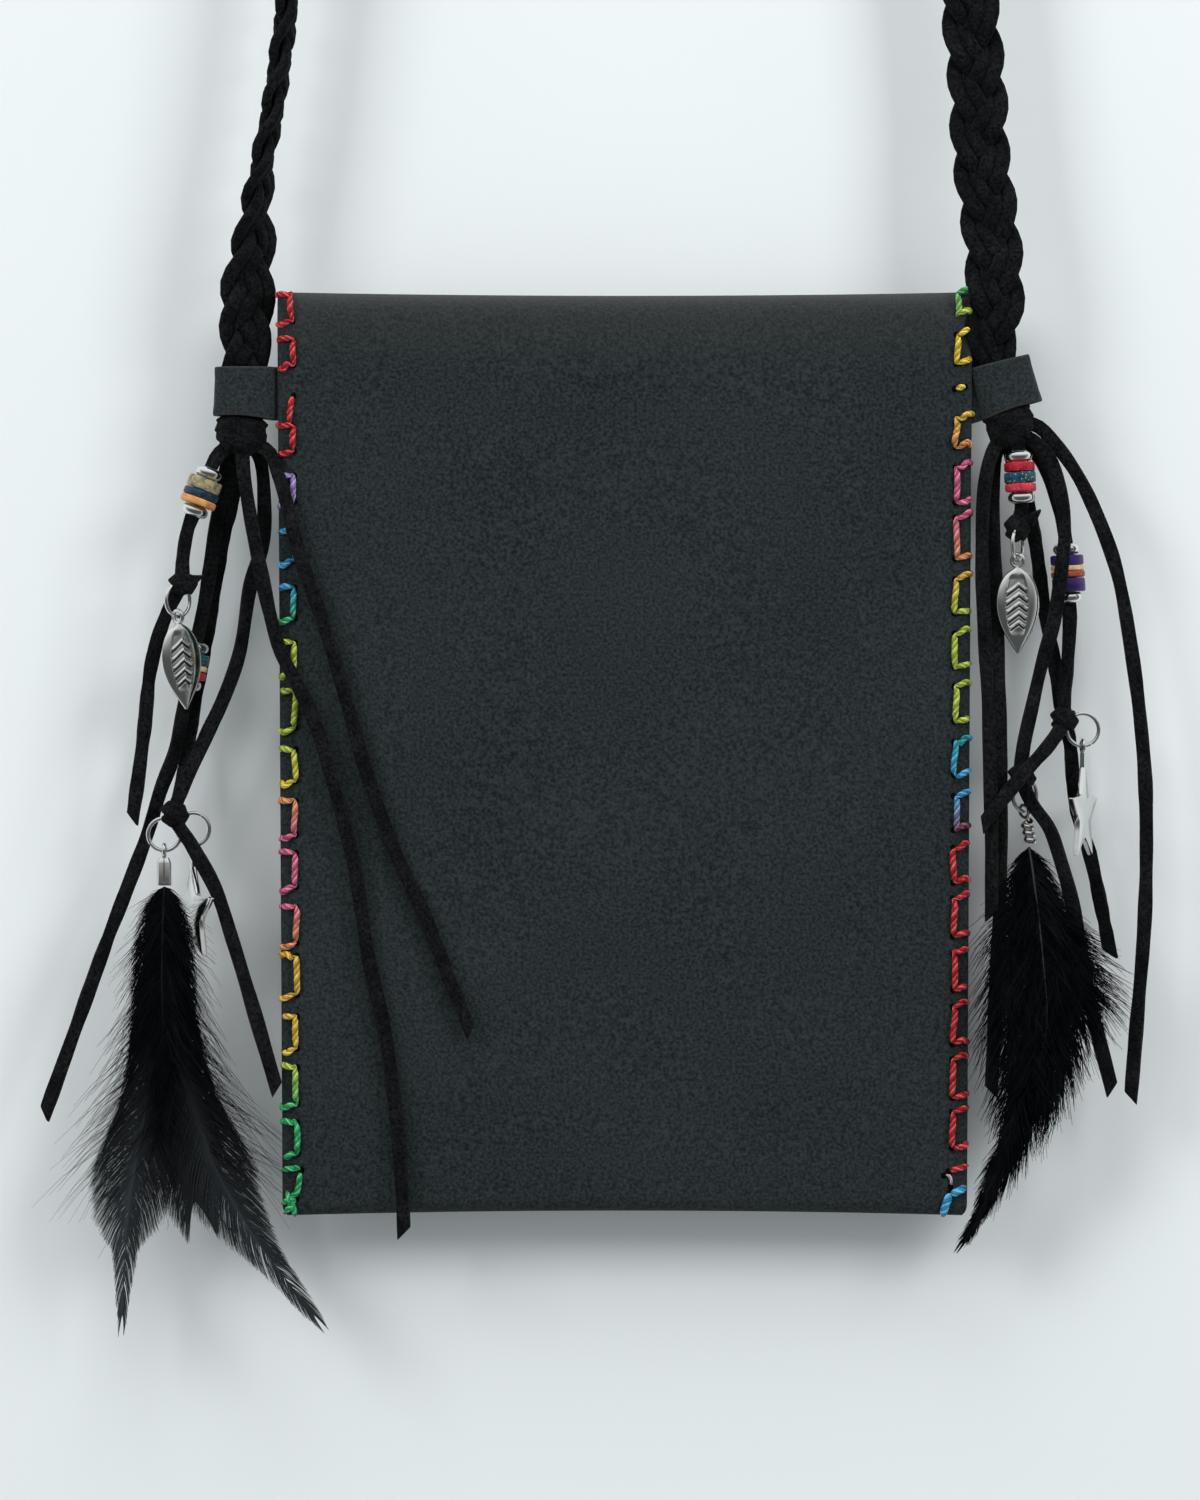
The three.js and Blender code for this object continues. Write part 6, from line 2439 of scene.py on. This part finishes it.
    def folded_clamp(self) -> Skin:
        """A plate folded round the quills, its two flaps meeting in front.

        Returns:
            The skin.
        """
        half_w, half_d = (self.clamp_width - self.plate) / 2, (self.clamp_depth - self.plate) / 2
        corner = 0.35 * MM
        left = [
            (-0.12 * MM, -half_d),
            (-half_w + corner, -half_d),
            (-half_w, -half_d + corner),
            (-half_w, half_d - corner),
            (-half_w + corner, half_d),
        ]
        path = [(x, y, 0.0) for x, y in left] + [(-x, y, 0.0) for x, y in reversed(left)]
        line = smooth_line(path, 0.15 * MM)
        tall = self.clamp_bottom - self.clamp_top
        upright = np.tile((0.0, 0.0, 1.0), (len(line), 1))
        skin = sweep(line, upright, flat_section(tall, self.plate, 24, 0.25))
        lift = skin.points[:, 2] / (tall / 2)
        skin.points[:, :2] *= (1 - 0.28 * ease(lift, 0.6, 1.0) + 0.05 * ease(-lift, 0.5, 1.0))[:, None]
        skin.points[:, 2] -= (self.clamp_top + self.clamp_bottom) / 2
        return skin

    def coiled_clamp(self) -> Skin:
        """Wire coiled tightly round the quills.

        Returns:
            The skin.
        """
        turns, steps = 3, 36
        wire = (self.clamp_bottom - self.clamp_top) / (turns + 1)
        angles = np.arange(turns * steps + 1) * math.tau / steps
        reach_x, reach_y = (self.clamp_width - wire) / 2, (self.clamp_depth - wire) / 2
        heights = -(self.clamp_top + wire / 2) - angles / math.tau * wire
        line = np.column_stack([reach_x * np.cos(angles), reach_y * np.sin(angles), heights])
        outward = np.column_stack([np.cos(angles), np.sin(angles), np.zeros_like(angles)])
        return sweep(line, outward, flat_section(wire * 0.98, wire * 0.98, 10, 1.0))

    def build(self) -> None:
        """Makes every charm and clamp, and hangs each on its ring."""
        makers = {
            PendantKind.LEAF: self.leaf,
            PendantKind.STAR: self.star,
            PendantKind.FOLDED_CLAMP: self.folded_clamp,
            PendantKind.COILED_CLAMP: self.coiled_clamp,
        }
        for spec in PENDANTS:
            ring = RINGS[spec.ring]
            eye_turn = Matrix.Rotation(math.radians(ring.turn - 90 - spec.turn), 4, "Z")
            eye = wire_ring(self.eye_radius, self.eye_wire).moved(eye_turn)
            place = Matrix.Translation(Vector(ring.centre) - Vector((0, 0, RING_RADIUS)))
            turn = Matrix.Rotation(math.radians(spec.turn), 4, "Z")
            lean = Matrix.Rotation(math.radians(spec.lean), 4, "Y")
            skin = joined([makers[spec.kind](), eye]).moved(place @ turn @ lean)
            present(f"silver_{spec.node}", skin, self.silver, [spec.node])


# Feathers


@dataclass(frozen=True)
class PlumeSpec:
    """One plume of barbs on a quill.

    Each row holds a point of the quill, the barbs' length there, both in millimetres, how far the barbs
    stand out, as a share of their length, and the share of barbs that grow.
    """

    rows: tuple[tuple[float, float, float, float, float, float], ...]
    looseness: float  # how far barbs turn out of the plume's plane, in radians
    barb_width: float  # in millimetres, at the quill
    raggedness: float = 1.0  # how far barbs differ in length, in stand and in waves
    sides: int = 3  # rows of barbs to each side of the quill
    bare: float = 0.0  # how grey the quill shows
    thinness: float = 0.0  # how grey the vane shows at its far end, painted to stand for light showing through it


def plume(*rows: tuple[float, float, float, float, float, float], **looks: float) -> PlumeSpec:
    """A plume from its rows and its other values by name."""
    return PlumeSpec(rows, **looks)


LEFT_PLUMES = (
    plume(
        (0, 0, 0, 4, 0.9, 1.0), (-0.8, -0.4, -6, 10, 0.62, 1.0), (-1.6, -0.8, -20, 14, 0.42, 1.0),
        (-2.6, -1, -38, 16, 0.5, 0.9), (-4.2, -1.4, -50, 17, 0.66, 1.0), (-6.4, -1.7, -62, 14, 0.56, 1.0),
        (-7.8, -2, -72, 9, 0.36, 0.7), (-8.5, -2.1, -82, 8, 0.22, 0.3), (-9, -2.2, -93, 6, 0.12, 0.4),
        looseness=0.3, barb_width=0.175, raggedness=0.16, sides=4, thinness=1.0,
    ),
    plume(
        (0, 0, 0, 4, 0.9, 1.0), (0.8, -0.6, -6, 10, 0.62, 1.0), (1.6, -1.2, -20, 14, 0.42, 1.0),
        (4, -2, -38, 16, 0.5, 0.9), (7.4, -2.8, -50, 17, 0.6, 1.0), (11.8, -3.6, -62, 14, 0.5, 1.0),
        (19.4, -4.3, -75.4, 10, 0.34, 0.6), (27, -4.8, -85.6, 9, 0.24, 0.3),
        (32.5, -5.1, -92.6, 6, 0.12, 0.4),
        looseness=0.3, barb_width=0.175, raggedness=0.16, sides=4, thinness=1.0,
    ),
    plume(
        (0, 0, 0, 4, 0.9, 1.0), (0.2, 0.2, -8, 11, 0.55, 1.0), (0.6, 0.2, -24, 14, 0.42, 1.0),
        (1.8, 0, -42, 16, 0.45, 0.9), (4, -0.6, -56, 16, 0.45, 1.0), (6.6, -1, -68, 11, 0.35, 1.0),
        looseness=0.3, barb_width=0.175, raggedness=0.16, sides=4, thinness=1.0,
    ),
    plume(
        (0, 0, 0, 4, 0.9, 1.0), (-1.6, 0.2, -6, 9, 0.75, 1.0), (-3, 0.3, -18, 12, 0.5, 1.0),
        (-3.6, 0.3, -32, 15, 0.7, 1.0), (-3.9, 0.4, -44, 19, 1.0, 0.7), (-4.6, 0.4, -56, 21, 0.9, 0.5),
        looseness=0.7, barb_width=0.16,
    ),
    plume(
        (0, 0, 0, 4, 0.9, 1.0), (1.8, -0.3, -6, 9, 0.75, 1.0), (3.4, -0.6, -18, 12, 0.5, 1.0),
        (4.4, -0.9, -32, 15, 0.7, 1.0), (5.6, -1.2, -45, 20, 1.0, 0.7), (7.6, -1.5, -57, 21, 0.9, 0.5),
        looseness=0.7, barb_width=0.16,
    ),
    plume(
        (0, 0, 0, 4, 0.9, 1.0), (-0.2, -1.2, -6, 9, 0.6, 1.0), (-0.4, -2, -22, 13, 0.5, 1.0),
        (0.4, -2.2, -40, 14, 0.5, 0.8), (0.8, -2.2, -52, 14, 0.4, 0.5),
        looseness=0.8, barb_width=0.16, bare=0.3,
    ),
)
RIGHT_PLUMES = (
    plume(
        (1, 0, 0, 5, 0.6, 1.0), (2, -0.3, -5, 10, 0.6, 1.0), (3.6, -0.5, -14, 16, 0.64, 1.0),
        (5.2, -0.8, -26, 19, 0.62, 1.0), (4.8, -1, -40, 16, 0.5, 1.0), (1, -1, -56, 14, 0.32, 0.9),
        (-5, -0.8, -70, 11, 0.24, 0.9), (-10, -0.6, -80, 7, 0.16, 0.9),
        (-13.2, -0.6, -85.4, 3.5, 0.12, 0.9),
        looseness=0.5, barb_width=0.26,
    ),
    plume(
        (1, -0.2, 0, 5, 0.6, 1.0), (4.4, -4, -12, 12, 0.6, 1.0), (9, -6.2, -24, 14, 0.66, 1.0),
        (11, -6.8, -34, 12, 0.6, 1.0), (8.4, -6.2, -46, 11, 0.36, 0.8), (4, -5, -57, 10, 0.26, 0.7),
        looseness=0.4, barb_width=0.26,
    ),
    plume(
        (1, 0, 0, 5, 0.6, 1.0), (-1, -2.2, -6, 9, 0.6, 1.0), (-3, -4.6, -18, 14, 0.56, 1.0),
        (-3.2, -6.2, -32, 16, 0.56, 1.0), (-2, -6.4, -45, 15, 0.5, 0.9), (-2.4, -5.5, -58, 11, 0.3, 0.8),
        (-6.6, -4, -72, 6, 0.2, 0.8), (-9.6, -3.2, -80, 3.5, 0.12, 0.9),
        looseness=0.45, barb_width=0.26, sides=4,
    ),
    plume(
        (1, 0, 0, 5, 0.5, 1.0), (3, 0.6, -20, 11, 0.45, 1.0), (3.4, 1, -40, 12, 0.38, 1.0),
        (-0.6, 1.4, -60, 11, 0.28, 0.9), (-7.4, 1.4, -75, 8, 0.2, 0.9), (-11.2, 1.2, -83.6, 4, 0.12, 0.9),
        looseness=0.4, barb_width=0.24,
    ),
    plume(
        (1, -0.4, 0, 5, 0.6, 1.0), (2.2, -4.2, -10, 12, 0.55, 0.8), (3.6, -7, -24, 15, 0.56, 0.8),
        (4.4, -7.4, -38, 13, 0.45, 0.8), (2, -6.6, -50, 11, 0.36, 0.8),
        looseness=0.6, barb_width=0.24, sides=4, bare=0.9,
    ),
    plume(
        (1, -0.4, 0, 5, 0.5, 1.0), (5.2, -4.6, -13, 10, 0.6, 1.0), (10.4, -6.8, -24, 12, 0.74, 1.0),
        (13.4, -7.2, -32, 10, 0.8, 0.8),
        looseness=0.45, barb_width=0.2,
    ),
)


@dataclass
class Feathers:
    """Two bunches of black plumes, each barb a fine tapering strand."""

    finishes: Finishes
    spacing: float = 0.25 * MM
    quill_width: float = 0.6 * MM
    waviness: float = 5.0 * MM
    see_through_span: tuple[float, float] = (0.35, 0.7)  # shares of a plume between which the painted see-through grey comes in
    drop_below_ring: float = 11.45 * MM
    taper: float = 0.7  # how much thinner barbs and quills are at their tips
    seed_step: int = 40  # between the seeds of a plume's random choices

    BARB = {"Resolution": 3, "Start": (0, 0, 0), "Middle": (0.55, 0.3, 0), "End": (0.9, 0.85, 0)}

    def recipe(self, number: int, spec: PlumeSpec) -> Recipe:
        """The tree that grows barbs along a quill.

        Args:
            number: The plume's number, which seeds its barbs.
            spec: The plume.

        Returns:
            The recipe.
        """
        recipe = Recipe(
            f"plume_{number}",
            {
                "Spacing": self.spacing,
                "Rows": 2 * spec.sides,
                "Barb Width": spec.barb_width * MM,
                "Quill Width": self.quill_width,
                "Waviness": self.waviness * spec.raggedness,
            },
        )
        quill = recipe.lines(recipe.size("Spacing"))
        rows, index = recipe.copies(quill, recipe.size("Rows"))
        tangent = recipe.tangent()
        stagger = recipe.times(recipe.over(index, recipe.size("Rows")), recipe.size("Spacing"))
        roots = recipe.moved(rows, recipe.scaled(tangent, stagger))
        widthways = recipe.stored("widthways", "FLOAT_VECTOR")
        thickways = recipe.vector("CROSS_PRODUCT", tangent, widthways)
        roll = recipe.chance(-spec.looseness, spec.looseness, number)
        out = recipe.turned(recipe.scaled(widthways, recipe.hand(index)), thickways, roll)
        turn = recipe.add(
            "FunctionNodeAxesToRotation",
            {"Primary Axis": tangent, "Secondary Axis": out},
            primary_axis="Y",
            secondary_axis="X",
        )
        barb = recipe.add("GeometryNodeCurveQuadraticBezier", self.BARB)
        uneven = spec.raggedness
        longer = recipe.chance(1 - 0.55 * uneven, 1 + 0.15 * uneven, number + self.seed_step)
        wider = recipe.chance(1 - 0.65 * uneven, 1 + 0.4 * uneven, number + 2 * self.seed_step)
        length = recipe.times(recipe.stored("barb"), longer)
        stand = recipe.times(recipe.stored("stand"), wider)
        width = recipe.times(length, stand)
        scale = recipe.add("ShaderNodeCombineXYZ", {"X": width, "Y": length, "Z": length})
        luck = recipe.chance(0.0, 1.0, number + 3 * self.seed_step)
        grown = recipe.add(
            "GeometryNodeInstanceOnPoints",
            {
                "Points": roots,
                "Selection": recipe.number("LESS_THAN", luck, recipe.stored("kept")),
                "Instance": barb.outputs[0],
                "Rotation": turn.outputs[0],
                "Scale": scale.outputs[0],
            },
        )
        tone = recipe.chance(0.0, 1.0, number + 4 * self.seed_step)
        toned = recipe.marked(grown.outputs[0], "tone", tone, on="INSTANCE")
        strands = recipe.add("GeometryNodeRealizeInstances", {"Geometry": toned}).outputs[0]
        reach = recipe.along("Factor")
        place = recipe.add("GeometryNodeInputPosition").outputs[0]
        clumps = recipe.add("ShaderNodeTexNoise", {"Vector": place, "Scale": 150.0, "Detail": 2.0})
        drift = recipe.vector("SUBTRACT", clumps.outputs[1], (0.5, 0.5, 0.5))
        amount = recipe.times(recipe.number("POWER", reach, 1.5), recipe.size("Waviness"))
        waved = recipe.moved(strands, recipe.scaled(drift, amount))
        taper = recipe.minus(1.0, recipe.times(reach, self.taper))
        down = recipe.skinned(waved, recipe.circle(3), recipe.times(taper, recipe.size("Barb Width")))
        shaft = recipe.skinned(quill, recipe.circle(8), recipe.times(taper, recipe.size("Quill Width")))
        whole = recipe.add("GeometryNodeJoinGeometry")
        for part, greyness in ((down, 0.0), (shaft, spec.bare)):
            recipe.feed(whole.inputs[0], recipe.marked(part, "quill", greyness))
        recipe.close(whole.outputs[0], self.finishes.plume)
        return recipe

    def build(self) -> None:
        """Grows both bunches."""
        bunches = {
            "left": (RINGS["left_feather"].centre, LEFT_PLUMES),
            "right": (RINGS["right_feather"].centre, RIGHT_PLUMES),
        }
        number = 0
        for side, (hung_from, plumes) in bunches.items():
            origin = np.array(hung_from) - (0, 0, self.drop_below_ring)
            for spec in plumes:
                number += 1
                table = np.array(spec.rows, float)
                line = smooth_line((table[:, :3] * MM).tolist(), 1.5 * MM) + origin
                reached = distances(table[:, :3])
                rows = reached / reached[-1]
                share = np.linspace(0, 1, len(line))
                along = unit(np.gradient(line, axis=0))
                values = {
                    "barb": np.interp(share, rows, table[:, 3]) * MM,
                    "stand": np.interp(share, rows, table[:, 4]),
                    "kept": np.interp(share, rows, table[:, 5]),
                    "widthways": unit(np.cross(along, DEPTH)),
                    "thinness": np.interp(share, self.see_through_span, (0.0, spec.thinness)),
                }
                name = f"plume_{side}_{number}"
                mesh = self.recipe(number, spec).run(name, line_mesh(f"quill_{number}", [line], values))
                stands_for = [f"feather_{side}"] if spec is plumes[0] else []
                present(name, mesh, self.finishes.plume, stands_for)


def main() -> None:
    """Builds the bag piece by piece."""
    logging.basicConfig(level=logging.INFO, format="%(message)s")
    Studio().build()
    finishes = Finishes.make()
    Laces(finishes.suede).build()
    MainKnots(finishes.suede).build()
    Strap(finishes.suede).build()
    pouch = Pouch(finishes.nubuck)
    pouch.build()
    Tabs(finishes.nubuck).build()
    Stitching(pouch, finishes).build()
    Beads(finishes).build()
    Rings(finishes.silver).build()
    Pendants(finishes.silver).build()
    Feathers(finishes).build()


if __name__ == "__main__":
    main()
